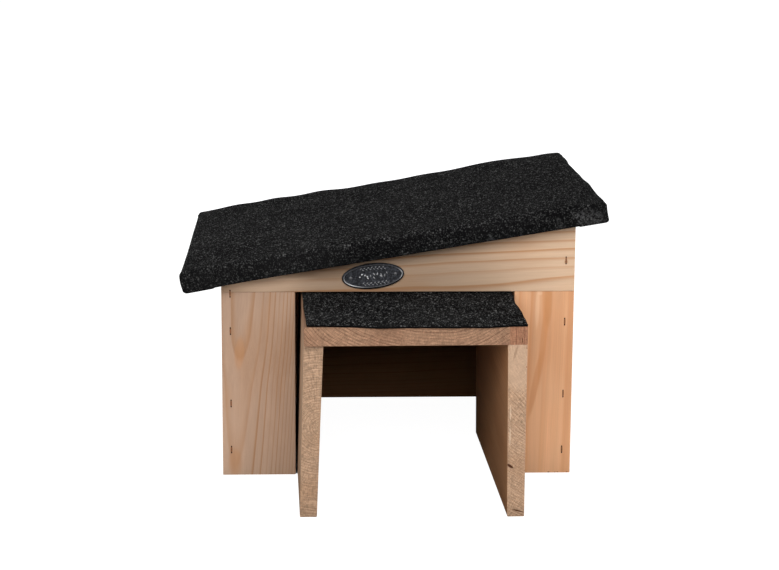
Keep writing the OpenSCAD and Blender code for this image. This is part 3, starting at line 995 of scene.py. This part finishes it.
def mineral_grit():
    """Group that strews grit on felt, with positions in millimetres. The cells of two layers, drawn out along
    Y, each get a random brightness, and only the brightest show; a slow noise gathers them in patches.
    Painted light: grit on upright faces is dimmer than on upward faces, as light from above would leave it."""
    inputs = {"Position": "Vector", "Normal": "Vector", "Grit Size": "Float"}
    inputs.update({"Base": "Color", "Grit": "Color"})
    outputs = {"Colour": "Color", "Height": "Float"}
    group, graph, given, result = new_group("mineral_grit", inputs, outputs)
    position = given["Position"]
    patch = graph.noise(position, 14, 3, 0.6)
    lying = graph.vector("MULTIPLY", position, (1, 0.45, 1))
    layers = []
    for size, threshold, strength in GRIT_LAYERS:
        scale = graph.math("DIVIDE", 1.0, graph.product(given["Grit Size"], size))
        cell = graph.add("TexVoronoi", {"Vector": lying, "Scale": scale, "Randomness": 1.0}).outputs
        chance = graph.add("SeparateColor", {0: cell["Color"]}).outputs[0]
        low = graph.math("SUBTRACT", threshold + 0.12, graph.product(patch, 0.25))
        bright = graph.rise(chance, low, graph.math("ADD", low, 0.3))
        core = graph.rise(cell["Distance"], 0.25, 0.7, 1.0, 0.0)
        layers.append(graph.product(bright, core, strength))
    # Painted light: grit on upright faces is dimmed to 0.52 of that on the top
    lit = graph.rise(graph.part(given["Normal"], "Z"), 0.2, 0.9, 0.52, 1.0)
    grit = graph.product(graph.greatest(*layers), lit)
    worn = graph.rise(graph.noise(position, 60, 3), 0.35, 0.7, 0.0, 0.25)
    base = graph.blend(0.12, given["Base"], graph.blend(worn, given["Base"], given["Grit"]))
    height = graph.total(graph.noise(position, 0.7, 2, 0.7), graph.product(grit, 0.8))
    graph.fill(result, {"Colour": graph.blend(grit, base, given["Grit"]), "Height": height})
    return group


def felt_material(settings, name, dust):
    """Black bitumen felt strewn with pale grit, whose colour is multiplied by the dust."""
    material, graph, shader = new_material(name)
    coordinates = graph.add("TexCoord").outputs
    position = graph.vector("MULTIPLY", coordinates["Object"], (1 / MM,) * 3)
    inputs = {
        "Position": position,
        "Normal": coordinates["Normal"],
        "Grit Size": settings.grit_size,
        "Base": opaque(settings.base_colour),
        "Grit": opaque(settings.grit_colour, dust),
    }
    grit = graph.place(mineral_grit, inputs)
    colour = grit["Colour"]
    rubbed = graph.noise(position, 3, 4, 0.75)
    low, high = node_box("roof_felt")
    for across, below, length, width, lean, strength in FELT_SCUFFS:
        centre = (high[0] - across * MM, low[1], high[2] - below * MM)
        half_size = (width / 2 * MM, SCUFF_DEPTH, length / 2 * MM)
        mask = spot_mask(graph, coordinates["Object"], centre, half_size, math.radians(lean))
        scuffed = graph.product(mask, graph.rise(rubbed, 0.42, 0.62, 0.0, strength))
        colour = graph.blend(scuffed, colour, opaque(settings.scuff_colour))
    cut = graph.add("Attribute", attribute_name="cut").outputs["Fac"]
    finish = {
        "Base Color": graph.blend(cut, colour, opaque(settings.cut_colour)),
        "Normal": graph.bump(grit["Height"], 0.7, 0.5 * MM),
        "Roughness": 0.85,
        "Specular IOR Level": 0.005,
    }
    graph.fill(shader, finish)
    return material


# Space between the turned-under edge of the felt and the walls
EDGE_GAP = 2.5 * MM
# Mean widths of the felt that is turned in below the boards, at the left and right and at the front and back
# The felt below the boards counts as so long when it is walked along, whatever its width there
UNDER_WALK = 20 * MM
# Radius of the opening's corners below the boards
OPENING_ROUND = 0.3 * MM
# Wavelengths of the waves in the roof felt
ROOF_WAVES = {"longest": 160 * MM, "shortest": 35 * MM}
# How far from the ends the waves die down, and how far from the back the bumps do
CALM_END = 40 * MM
BUMPY_BACK = 45 * MM
# Depth and width of the sag below the left front corner, and the bulge of the sides
SAG_DEPTH = 1.6 * MM
SAG_WIDTH = 40 * MM
LEFT_BULGE = 1.4 * MM
RIGHT_BULGE = 1.0 * MM
# How far along the left side the sag and the bulge reach, and the right side's bulge along that side
LEFT_REACH = 60 * MM
RIGHT_REACH = 90 * MM

# Bumps of the felt along the back edge: place along the slope from the left end, height and half width, all
# in millimetres
BACK_BUMPS = (
    (40, 1.6, 22),
    (84, 1.8, 18),
    (138, 2.0, 22),
    (205, 0.8, 20),
    (258, 1.3, 24),
    (335, 3.2, 40),
    (392, 1.5, 16),
)


class RoofWrap:
    """The felt's outer surface over the roof boards, in the roof's frame.

    A point is named by the nearest point of the flat middle (the core), the direction in which it lies beyond
    the core, and the distance walked from the core along the felt: round the top bend, down the side, round
    the under bend and in below the boards to the walls."""

    def __init__(self, settings):
        self.ripple = settings.ripple
        self.thickness = ROOF.thickness
        self.bend = settings.top_bend
        self.under = settings.under_bend
        self.top = ROOF.high[2] + self.thickness
        self.bottom = ROOF.low[2] - self.thickness
        inset = self.bend - self.thickness - settings.stand_off
        self.half = (ROOF.high - ROOF.low)[:2] / 2 - inset
        self.middle = ROOF.middle[:2]
        self.bend_end = self.bend * QUARTER_TURN
        self.side_end = self.bend_end + (self.top - self.bottom) - self.bend - self.under
        self.under_end = self.side_end + self.under * QUARTER_TURN
        self.flange_end = self.under_end + UNDER_WALK
        window_low = ROOF.walls_low[:2] - EDGE_GAP
        window_high = ROOF.walls_high[:2] + EDGE_GAP
        self.window_middle = (window_low + window_high) / 2 - self.middle
        self.window_half = (window_high - window_low) / 2

    def surface(self, core, direction, walked):
        """Rows of u, v, w. Both bends are quarter circles, the side between them is straight, and the part
        below the boards runs straight to a window that has the shape of the core."""
        first = share(walked, 0, self.bend_end) * QUARTER_TURN
        second = share(walked, self.side_end, self.under_end) * QUARTER_TURN
        down = np.clip(walked - self.bend_end, 0, self.side_end - self.bend_end)
        out = self.bend * np.sin(first) - self.under * (1 - np.cos(second))
        height = self.top - self.bend * (1 - np.cos(first)) - down - self.under * np.sin(second)
        inward = share(walked, self.under_end, self.flange_end)[..., None]
        around = core + out[..., None] * direction
        window = self.window_middle + core / self.half * self.window_half + OPENING_ROUND * direction
        flat = self.middle + around * (1 - inward) + window * inward
        return np.concatenate([flat, height[..., None]], axis=-1)

    def lift(self, points, walked):
        """How far the felt stands off its plain shape, square to it: slow waves everywhere, bumps along the
        back edge, and a sag under the left front corner."""
        u, v = points[..., 0], points[..., 1]
        from_end = np.minimum(u - ROOF.low[0], ROOF.high[0] - u)
        waves = self.ripple * (1.3 + ripples(u, v, seed=7, **ROOF_WAVES))
        waves = waves * np.clip(from_end / CALM_END, 0.25, 1)
        bumps = np.zeros(u.shape)
        for place, height, width in BACK_BUMPS:
            bumps += height * MM * hump(u, ROOF.low[0] + place * MM, width * MM)
        above = share(walked, self.side_end, 0)
        below = share(walked, self.side_end, self.under_end) * share(walked, self.flange_end, self.under_end)
        sag = SAG_DEPTH * hump(u, ROOF.low[0], SAG_WIDTH) * hump(v, ROOF.low[1], LEFT_REACH)
        return waves * (0.1 + 0.9 * above) + above * hump(v, ROOF.high[1], BUMPY_BACK) * bumps + below * sag

    def bulge(self, points, direction, walked):
        """How far the sides bulge outwards: the left one near the front, the right one near its middle."""
        v = points[..., 1]
        rounding = np.sin(math.pi * share(walked, 0, self.under_end))
        left = np.clip(-direction[..., 0], 0, 1) * LEFT_BULGE * hump(v, ROOF.low[1], LEFT_REACH)
        waves = hump(v, ROOF.middle[1], RIGHT_REACH)
        waves = waves + 0.7 * ripples(v, 0, seed=17, longest=110 * MM, shortest=50 * MM, count=4)
        right = np.clip(direction[..., 0], 0, 1) * RIGHT_BULGE * waves
        return direction * (rounding * (left + right))[..., None]

    def grid(self, core, direction, walked, raised=0.0):
        """Points of the row frame: the plain surface, moved along its normals by the lift and what is raised
        above it, and outwards by the bulge."""
        points = self.surface(core, direction, walked)
        lift = self.lift(points, walked) + raised
        points = points + grid_normals(points) * lift[..., None]
        points[..., :2] += self.bulge(points, direction, walked)
        return ROOF.world(points)

    def steps(self, length, spacing=4 * MM):
        """Parameter values across the roof: walked distances outside the core, even steps inside it."""
        places = (0, self.bend_end, self.side_end, self.under_end, self.flange_end)
        counts = (7, 6, 6, 6)
        parts = [np.linspace(*ends, count)[1:] for *ends, count in zip(places, places[1:], counts)]
        outer = np.concatenate(parts)
        inner = np.linspace(-length, length, max(2, round(2 * length / spacing)))
        return np.concatenate([-length - outer[::-1], inner, length + outer])


def roof_sheet_grid(wrap):
    """Grid over the whole roof. What lies beyond the core counts as walked along the farther of its two ways
    out, so that the corners are square."""
    flat = np.stack(np.meshgrid(wrap.steps(wrap.half[0]), wrap.steps(wrap.half[1])), axis=-1)
    core = np.clip(flat, -wrap.half, wrap.half)
    beyond = flat - core
    walked = np.abs(beyond).max(axis=-1)
    direction = beyond / np.maximum(np.linalg.norm(beyond, axis=-1, keepdims=True), 1e-9)
    return wrap.grid(core, direction, walked)


# The corners of the roof: towards +X or -X, and towards +Y or -Y
CORNERS = {"front_left": (-1, -1), "front_right": (1, -1), "back_left": (-1, 1), "back_right": (1, 1)}
# Width of a folded corner flap at the top, and how much narrower it is at the bottom
FLAP_WIDTH = 33 * MM
FLAP_TAPER = 9 * MM
# How far a flap reaches along the roof's side and under it, its thickness, and how far it is raised
FLAP_SIDE = 16 * MM
FLAP_UNDER = 5 * MM
FLAP_THICKNESS = 0.8 * MM
FLAP_RAISED = 0.7 * MM
# Rows and columns of a flap's grid, and the shares of it where the turn round the corner starts and ends
FLAP_ROWS = 26
FLAP_COLUMNS = 34
TURN_START = 0.55
TURN_END = 0.75


def flap_grid(wrap, side, end):
    """Grid of one folded corner flap. It lies on the sheet like a second layer, from its slanted free edge on
    the front or back round the corner, and thins out on the side and at the bottom. The columns run the
    other way at every second corner, so that the normals point outwards."""
    down = np.linspace(0.8 * wrap.bend_end, wrap.under_end + FLAP_UNDER, FLAP_ROWS)[:, None]
    lower = share(down, down[0], down[-1])
    across = np.linspace(0, 1, FLAP_COLUMNS)[None, :: side * end]
    width = FLAP_WIDTH - FLAP_TAPER * lower - (wrap.bend - wrap.thickness)
    along_end = share(across, TURN_START, 0) * width
    angle = share(across, TURN_START, TURN_END) * QUARTER_TURN + 0 * down
    along_side = share(across, TURN_END, 1) * FLAP_SIDE + 0 * down
    core = np.stack([side * (wrap.half[0] - along_end), end * (wrap.half[1] - along_side)], axis=-1)
    direction = np.stack([side * np.sin(angle), end * np.cos(angle)], axis=-1)
    thinning = np.clip((1 - across) / (1 - TURN_END), 0.03, 1) * share(lower, 1.03, 0.78)
    return wrap.grid(core, direction, down + 0 * across, FLAP_RAISED * thinning)


class HEDGEHOG_OT_roof_felt(bpy.types.Operator):
    """Wraps the roof boards in one sheet of felt, bent over and under the four edges, with folded corners"""

    bl_idname = "hedgehog.roof_felt"
    bl_label = "Roof felt"

    def execute(self, context):
        settings = context.scene.hedgehog_felt
        wrap = RoofWrap(settings)
        material = felt_material(settings, "roof_felt", 1.0)
        felt = add_sheet("roof_felt_sheet", roof_sheet_grid(wrap), wrap.thickness, material, "roof")
        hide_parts("roof_felt")
        for name, (side, end) in CORNERS.items():
            grid = flap_grid(wrap, side, end)
            add_sheet("roof_felt_fold_" + name, grid, FLAP_THICKNESS, material, "roof")
        return {"FINISHED"}


# Swells of the tunnel felt's right edge: share of the way to the back, height in millimetres, and half width
EDGE_SWELLS = ((0.8, 1.6, 0.13), (0.53, -0.9, 0.09), (0.32, 0.9, 0.1))
# Rows and columns of the tunnel felt's grid, and the wavelengths of its waves
TUNNEL_ROWS = 76
TUNNEL_COLUMNS = 90
TUNNEL_WAVES = {"longest": 90 * MM, "shortest": 20 * MM}
# How far the left edge leans in at the front, and how far the front edge runs past the board at the left, in
# the middle and at the right
LEFT_LEAN = 1.6 * MM
OVERHANGS = np.array([-3, 3, 1]) * MM
# Height that the right edge stands up
RIGHT_LIFT = 0.6 * MM
# Droop of the felt at this distance past the board's front
DROOP_DISTANCE = 3 * MM
DROOP = 0.75 * MM


def tunnel_sheet_grid():
    """Grid of the loose piece of felt, with closer rows at the front. Its left edge leans in to the front,
    its right edge swells, and its front edge runs unevenly past the board and droops there by the distance
    to the power 1.5. Slow waves lift it behind the front."""
    low, high = TUNNEL.felt_low, TUNNEL.felt_high
    across, back = np.meshgrid(np.linspace(0, 1, TUNNEL_COLUMNS), np.linspace(0, 1, TUNNEL_ROWS) ** 1.5)
    left = low[0] + LEFT_LEAN * (1 - back) ** 2
    left += 0.15 * MM * ripples(back, 0, seed=21, longest=0.5, shortest=0.2, count=4)
    swells = sum(height * hump(back, place, width) for place, height, width in EDGE_SWELLS)
    right = high[0] + swells * MM + 0.2 * MM * ripples(back, 0, seed=5, longest=0.6, shortest=0.2, count=4)
    a = left + across * (right - left)
    steps = np.diff(OVERHANGS)
    overhang = OVERHANGS[0] + steps[0] * ease(across, 0.06, 0.34) + steps[1] * ease(across, 0.78, 0.95)
    overhang += 0.25 * MM * ripples(a, 0, seed=13, longest=80 * MM, shortest=20 * MM, count=6)
    b = back * high[1] - overhang * (1 - back) ** 4
    waves = 0.35 * MM * (1.4 + ripples(a, b, seed=31, **TUNNEL_WAVES))
    lifted = np.maximum(waves + RIGHT_LIFT * hump(across, 1, 0.05), 0) * ease(b, 0, 14 * MM)
    droop = DROOP * np.clip(-b / DROOP_DISTANCE, 0, 1.5) ** 1.5
    return TUNNEL.world(a, b, TUNNEL.felt_top + lifted - droop)


class HEDGEHOG_OT_tunnel_felt(bpy.types.Operator):
    """Lays the loose piece of felt on the tunnel"""

    bl_idname = "hedgehog.tunnel_felt"
    bl_label = "Tunnel felt"

    def execute(self, context):
        thickness = TUNNEL.felt_top - TUNNEL.felt_bottom
        material = felt_material(context.scene.hedgehog_felt, "tunnel_felt", 1.5)
        felt = add_sheet("tunnel_felt_sheet", tunnel_sheet_grid(), thickness, material, "tunnel")
        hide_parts("tunnel_felt")
        return {"FINISHED"}


# Badge


# Profile of the badge's rim from its back: inset in millimetres, and height as a share of the badge's depth
RIM = (
    (0, 0),
    (0, 0.5),
    (0.25, 0.68),
    (0.8, 0.8),
    (1.3, 0.88),
    (1.65, 0.96),
    (1.95, 1),
    (2.25, 0.9),
    (2.55, 0.62),
    (2.8, 0.56),
)
# Inset of the rim's ridge, and half of the width of the bright line on it, in millimetres
RIM_RIDGE = 1.95
RIDGE_WIDTH = 0.8
# Side of the badge on which a garland lies, where it starts and ends along the badge, and its inset in the
# middle of that side, in millimetres
GARLANDS = ((1, -12, 11), (-1, -11, 13))
GARLAND_INSET = 4.9
# Leaves of each garland, how far they turn to either side, and their length and width
GARLAND_LEAVES = 14
GARLAND_TURN = math.radians(38)
GARLAND_LEAF = (3.1, 0.8)
# Leaves of the sprig, how far they reach along the badge to either side, and their turns in degrees
SPRIG_LEAVES = 9
SPRIG_REACH = 8.5
SPRIG_TURNS = (55, -60, 110)
# Places along the badge and turns in degrees of the two leaves at the sprig's right end
END_LEAVES = (((11, -1.6), 80), ((14.2, 0.4), 115))
# Places and radii of the berries in millimetres
BERRIES = (((-10.4, 2.2), 1.1), ((-12.8, 0), 0.9), ((4, 1.0), 0.8))
# Heights of the relief and of the hammered field in millimetres
RELIEF_HEIGHT = 0.62
HAMMERED_HEIGHT = 0.03
# Points in a ring of the badge, and rings in its field
RING_POINTS = 420
FIELD_RINGS = 45


def leaf(p, q, place, turn, length, width):
    """Height of one leaf, 1 along its middle: across it falls as a parabola to an edge whose distance from
    the middle follows a half wave along the leaf. A groove runs down the rib."""
    along = (p - place[0]) * math.cos(turn) + (q - place[1]) * math.sin(turn)
    across = (q - place[1]) * math.cos(turn) - (p - place[0]) * math.sin(turn)
    edge = width * np.sin(math.pi * share(along, 0, length) ** 0.8) + 1e-6
    body = np.clip(1 - (across / edge) ** 2, 0, 1) * (along > 0) * (along < length)
    return body * (1 - 0.45 * hump(across, 0, 0.14))


def bead(p, q, place, radius):
    """Height of a round bead: a half circle over its middle."""
    distance = np.hypot(p - place[0], q - place[1])
    return np.sqrt(np.clip(1 - (distance / radius) ** 2, 0, 1))


def badge_relief(p, q, half):
    """Relief of the field as a share of its greatest height: a garland along each long side, whose small
    leaves turn to one side and the other, and a loose sprig of leaves and berries in the middle."""
    parts = []
    rise = half[1] - GARLAND_INSET
    for side, first, last in GARLANDS:
        for i, place in enumerate(np.linspace(first, last, GARLAND_LEAVES)):
            height = side * rise * math.sqrt(1 - (place / half[0]) ** 2)
            slope = math.atan2(-side * place * rise, half[0] ** 2)
            turn = slope + GARLAND_TURN * (-1) ** i
            parts.append(0.78 * leaf(p, q, (place, height), turn, *GARLAND_LEAF))
    for i, place in enumerate(np.linspace(-SPRIG_REACH, SPRIG_REACH, SPRIG_LEAVES)):
        turn = math.radians(SPRIG_TURNS[i % 3] + 14 * (i % 4))
        height = 0.9 * math.sin(0.45 * place) - 0.4
        parts.append(0.9 * leaf(p, q, (place, height), turn, 3.0 + 0.4 * (i % 3), 0.95))
    parts += [leaf(p, q, place, math.radians(turn), 3.4, 0.85) for place, turn in END_LEAVES]
    parts += [bead(p, q, place, radius) for place, radius in BERRIES]
    return np.max(parts, axis=0)


def badge_surface():
    """Rings of points from the back of the rim over its ridge and in over the field, the two middle points,
    and how bright each point is: rubbed wear on the raised parts, and a painted glint that makes the ridge
    of the rim brighter at its right and lower left."""
    half = BADGE.half / MM
    inset, height = np.array(RIM).T
    turn = np.linspace(0, TAU, RING_POINTS, endpoint=False)
    inset = inset[:, None]
    rim = [(half[0] - inset) * np.cos(turn), (half[1] - inset) * np.sin(turn)]
    rim.append(height[:, None] * BADGE.depth / MM + 0 * turn)
    scale = np.linspace(1, 0.02, FIELD_RINGS + 1)[1:, None]
    inner = half - inset[-1]
    p, q = inner[0] * scale * np.cos(turn), inner[1] * scale * np.sin(turn)
    relief = badge_relief(p, q, half)
    hammered = HAMMERED_HEIGHT * ripples(p, q, seed=3, longest=4.0, shortest=1.2, count=10)
    r = rim[2][-1, 0] + RELIEF_HEIGHT * relief + hammered * (1 - relief)
    rings = [np.concatenate(pair) * MM for pair in zip(rim, (p, q, r))]
    middles = [np.zeros(2), np.zeros(2), np.array([r[-1].mean(), 0.0]) * MM]
    ridge = hump(inset, RIM_RIDGE, RIDGE_WIDTH)
    # Painted glint: the ridge is brighter at its right and lower left, where it would mirror the light
    rubbed = np.maximum(hump(np.abs(turn - math.radians(208)), 0, 0.55), hump(np.cos(turn), 1, 0.1))
    wear_and_glint = np.concatenate([(ridge * (0.5 + 0.5 * rubbed)).ravel(), relief.ravel(), [0, 0]])
    return BADGE.world(*rings), BADGE.world(*middles), wear_and_glint


def cast_metal(settings):
    """Dark cast metal, rubbed bright on the raised parts, with a painted glint on the rim's ridge."""
    material, graph, shader = new_material("cast_pewter")
    position = graph.add("TexCoord").outputs["Object"]
    # The attribute carries the rubbed wear and the rim's painted glint
    relief = graph.add("Attribute", attribute_name="relief").outputs["Fac"]
    grain = graph.noise(position, 0.5 * MM, 3, 0.6)
    cloud = graph.noise(position, 6 * MM)
    mottle = graph.noise(position, 1.6 * MM, 4, 0.7)
    worn = graph.product(
        graph.rise(relief, 0.35, 1.0),
        graph.rise(cloud, 0.2, 0.6, 0.35, 1.0),
        graph.rise(grain, 0.25, 0.5, 0.5, 1.0),
    )
    dark, pale = opaque(settings.badge_dark, 0.55), opaque(settings.badge_dark, 2.2)
    patina = graph.blend(graph.rise(mottle, 0.4, 0.68), dark, pale)
    finish = {
        "Base Color": graph.blend(worn, patina, opaque(settings.badge_bright)),
        "Metallic": 0.85,
        "Roughness": graph.rise(worn, 0.0, 1.0, 0.52, 0.3),
        "Normal": graph.bump(grain, 0.4, 0.1 * MM),
    }
    graph.fill(shader, finish)
    return material


def pin_metal(settings):
    """Dark pin heads with rubbed specks."""
    material, graph, shader = new_material("pin_metal")
    position = graph.add("TexCoord").outputs["Object"]
    grain = graph.noise(position, 0.4 * MM, 3, 0.6)
    rubbed = graph.rise(grain, 0.5, 0.75, 0.1, 0.5)
    finish = {
        "Base Color": graph.blend(rubbed, opaque(settings.badge_dark), opaque(settings.badge_bright)),
        "Metallic": 0.7,
        "Roughness": graph.rise(grain, 0.3, 0.7, 0.6, 0.45),
    }
    graph.fill(shader, finish)
    return material


class HEDGEHOG_OT_badge(bpy.types.Operator):
    """Casts the oval badge with its rim, leaves and berries, and finishes its pins"""

    bl_idname = "hedgehog.badge"
    bl_label = "Badge"

    def execute(self, context):
        settings = context.scene.hedgehog_metal
        rings, middles, wear_and_glint = badge_surface()
        points = np.concatenate([rings.reshape(-1, 3), middles])
        faces = dome_faces(*rings.shape[:2])
        badge = add_piece("badge_relief_plate", points, faces, cast_metal(settings), "house")
        add_attribute(badge.data, "relief", "POINT", wear_and_glint)
        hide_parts("badge_plate")
        dress_node("badge_pins", pin_metal(settings))
        return {"FINISHED"}


# Stage


# Half of the floor's width, its own pale grey, and what it throws back below and beside the house
FLOOR_REACH = 12.0
FLOOR_GREY = 0.3
BOUNCE_BELOW = 0.03
BOUNCE_BESIDE = 0.8
# Width over which the floor's bounce changes round the house and the tunnel
BOUNCE_EDGE = 20 * MM
# Widths over which the painted shadow of the bay starts at its left, right, front and back
BAY_EDGES = np.array([4, 1, 6, 2]) * MM
# Height at which the lights aim
AIM_HEIGHT = 0.12
# Square lights: the setting with the power, the place, the width, and whether shiny surfaces mirror the light
LIGHTS = {
    "key_light": ("key", (0.25, -2.7, 1.65), 1.8, True),
    "fill_light": ("fill", (-1.2, -2.3, 1.4), 1.4, True),
    "back_light": ("back", (-0.9, 2.6, 0.9), 1.5, False),
    "left_light": ("side", (-2.4, 0.1, 0.7), 1.2, False),
    "right_light": ("side", (2.4, 0.1, 0.7), 1.2, False),
}


def facing_matrix(away):
    """Rotation whose Z points along the given direction and whose X is level."""
    back = away / np.linalg.norm(away)
    level = np.cross([0, 0, 1], back)
    level /= np.linalg.norm(level)
    return Matrix(np.stack([level, np.cross(back, level), back], axis=1).tolist())


def dark_bay(graph, x, y):
    """Painted shadow: 1 on the floor of the closed bay at the left of the tunnel, up to the middle of the
    tunnel's wall.
    """
    wall_low, wall_high = node_box("tunnel_left_wall")
    left, right = node_box("left_side_board")[1][0], (wall_low[0] + wall_high[0]) / 2
    front, back = node_box("front_left_board")[0][1], node_box("back_lower_board")[1][1]
    between = graph.within(x, left - BAY_EDGES[0], left, right - BAY_EDGES[1], right)
    return graph.product(between, graph.within(y, front, front + BAY_EDGES[2], back - BAY_EDGES[3], back))


def open_floor(graph, x, y):
    """0 on the floor below the house and the tunnel, and 1 all round them."""
    left, right = node_box("left_side_board")[0][0], node_box("right_side_board")[1][0]
    front, back = node_box("tunnel_left_wall")[0][1], node_box("back_lower_board")[1][1]
    sides = ((x, left, -1), (x, right, 1), (y, front, -1), (y, back, 1))
    return graph.greatest(*(graph.rise(at, edge, edge + way * BOUNCE_EDGE) for at, edge, way in sides))


class HEDGEHOG_OT_stage(bpy.types.Operator):
    """Sets the floor, the light and the camera"""

    bl_idname = "hedgehog.stage"
    bl_label = "Stage"

    def execute(self, context):
        settings = context.scene.hedgehog_stage
        self.make_floor(settings)
        self.make_world(context, settings)
        for name, (power, place, width, mirrored) in LIGHTS.items():
            light = self.make_light(name, getattr(settings, power), place, width)
            light.visible_glossy = mirrored
        self.make_camera(context, settings)
        context.scene.view_settings.view_transform = "Standard"
        return {"FINISHED"}

    def make_floor(self, settings):
        """A wide pale floor that shows the object's shadow against a white glow, with a painted shadow in the
        closed bay where the glow is taken away. It throws light back beside the house, and little below it."""
        mesh = bpy.data.meshes.new("floor")
        corners = [(x * FLOOR_REACH, y * FLOOR_REACH, 0) for x, y in ((-1, -1), (1, -1), (1, 1), (-1, 1))]
        mesh.from_pydata(corners, [], [(0, 1, 2, 3)])
        floor = add_object("floor", mesh)
        material = bpy.data.materials.new("pale_floor")
        graph = emptied(material)
        place = graph.add("TexCoord").outputs["Object"]
        x, y = graph.part(place, "X"), graph.part(place, "Y")
        # Painted shadow: the floor's glow is taken away in the closed bay
        lit_share = graph.math("SUBTRACT", 1.0, dark_bay(graph, x, y))
        glow_strength = graph.product(lit_share, settings.floor_glow)
        glow = graph.add("Emission", {"Color": opaque((1, 1, 1)), "Strength": glow_strength})
        pale = graph.add("BsdfDiffuse", {"Color": opaque((1, 1, 1), FLOOR_GREY)})
        lit = graph.add("AddShader", {0: pale.outputs[0], 1: glow.outputs[0]})
        below, beside = opaque((1, 1, 1), BOUNCE_BELOW), opaque((1, 1, 1), BOUNCE_BESIDE)
        bounce = graph.add("BsdfDiffuse", {"Color": graph.blend(open_floor(graph, x, y), below, beside)})
        seen = graph.add("LightPath").outputs["Is Camera Ray"]
        mixed = graph.add("MixShader", {0: seen, 1: bounce.outputs[0], 2: lit.outputs[0]})
        graph.add("OutputMaterial", {"Surface": mixed.outputs[0]})
        mesh.materials.append(material)

    def make_world(self, context, settings):
        """Light that fades from straight above to the horizon. What the camera sees, directly or in a mirror
        or glass, is white."""
        world = bpy.data.worlds.new("studio")
        graph = emptied(world)
        aim = graph.part(graph.add("TexCoord").outputs["Generated"], "Z")
        strength = graph.rise(aim, 0.15, 1.0, settings.horizon, settings.ambient)
        light = graph.add("Background", {"Color": opaque((1, 1, 1)), "Strength": strength})
        white = graph.add("Background", {"Color": opaque((1, 1, 1)), "Strength": 1.0})
        path = graph.add("LightPath").outputs
        seen = graph.greatest(path["Is Camera Ray"], path["Is Glossy Ray"], path["Is Transmission Ray"])
        mixed = graph.add("MixShader", {0: seen, 1: light.outputs[0], 2: white.outputs[0]})
        graph.add("OutputWorld", {"Surface": mixed.outputs[0]})
        context.scene.world = world

    def make_light(self, name, power, place, width):
        """Adds a square area light that looks at the house."""
        data = bpy.data.lights.new(name, "AREA")
        data.energy = power
        data.size = width
        light = add_object(name, data)
        away = np.array(place) - np.array([0, 0, AIM_HEIGHT])
        light.matrix_world = Matrix.Translation(place) @ facing_matrix(away).to_4x4()
        return light

    def make_camera(self, context, settings):
        """The photograph's camera: it looks along a yaw and a downward pitch and is rolled about its view."""
        data = bpy.data.cameras.new("camera")
        data.sensor_width = 36.0
        data.lens = settings.camera_lens
        data.clip_end = 100.0
        camera = add_object("camera", data)
        pitch, yaw, roll = settings.camera_pitch, settings.camera_yaw, settings.camera_roll
        level = np.array([math.cos(yaw), -math.sin(yaw), 0])
        ahead = np.array([math.sin(yaw) * math.cos(pitch), math.cos(yaw) * math.cos(pitch), -math.sin(pitch)])
        down = np.cross(ahead, level)
        right = level * math.cos(roll) + down * math.sin(roll)
        up = level * math.sin(roll) - down * math.cos(roll)
        turn = Matrix(np.stack([right, up, -ahead], axis=1).tolist()).to_4x4()
        camera.matrix_world = Matrix.Translation(settings.camera_place) @ turn
        context.scene.camera = camera


# Panel and start


class HEDGEHOG_PT_looks(bpy.types.Panel):
    """Lists the steps that dress the house"""

    bl_label = "Hedgehog House"
    bl_idname = "HEDGEHOG_PT_looks"
    bl_space_type = "VIEW_3D"
    bl_region_type = "UI"
    bl_category = "Hedgehog House"

    def draw(self, context):
        for operator in STEPS:
            self.layout.operator(operator.bl_idname)
        for name in SETTINGS:
            box = self.layout.box()
            settings = getattr(context.scene, name)
            for key in settings.bl_rna.properties.keys():
                if key not in ("rna_type", "name"):
                    box.prop(settings, key)


SETTINGS = {
    "hedgehog_wood": WoodSettings,
    "hedgehog_metal": MetalSettings,
    "hedgehog_felt": FeltSettings,
    "hedgehog_stage": StageSettings,
}
STEPS = (
    HEDGEHOG_OT_stage,
    HEDGEHOG_OT_boards,
    HEDGEHOG_OT_staples,
    HEDGEHOG_OT_roof_felt,
    HEDGEHOG_OT_tunnel_felt,
    HEDGEHOG_OT_badge,
)


def register():
    """Registers the settings, the operators and the panel."""
    for cls in (*SETTINGS.values(), *STEPS, HEDGEHOG_PT_looks):
        bpy.utils.register_class(cls)
    for name, cls in SETTINGS.items():
        setattr(bpy.types.Scene, name, PointerProperty(type=cls))


def unregister():
    """Removes what register added."""
    for name in SETTINGS:
        delattr(bpy.types.Scene, name)
    for cls in reversed((*SETTINGS.values(), *STEPS, HEDGEHOG_PT_looks)):
        bpy.utils.unregister_class(cls)


def main():
    """Runs every step in order."""
    register()
    bpy.ops.hedgehog.stage()
    bpy.ops.hedgehog.boards()
    bpy.ops.hedgehog.staples()
    bpy.ops.hedgehog.roof_felt()
    bpy.ops.hedgehog.tunnel_felt()
    bpy.ops.hedgehog.badge()


if __name__ == "__main__":
    main()
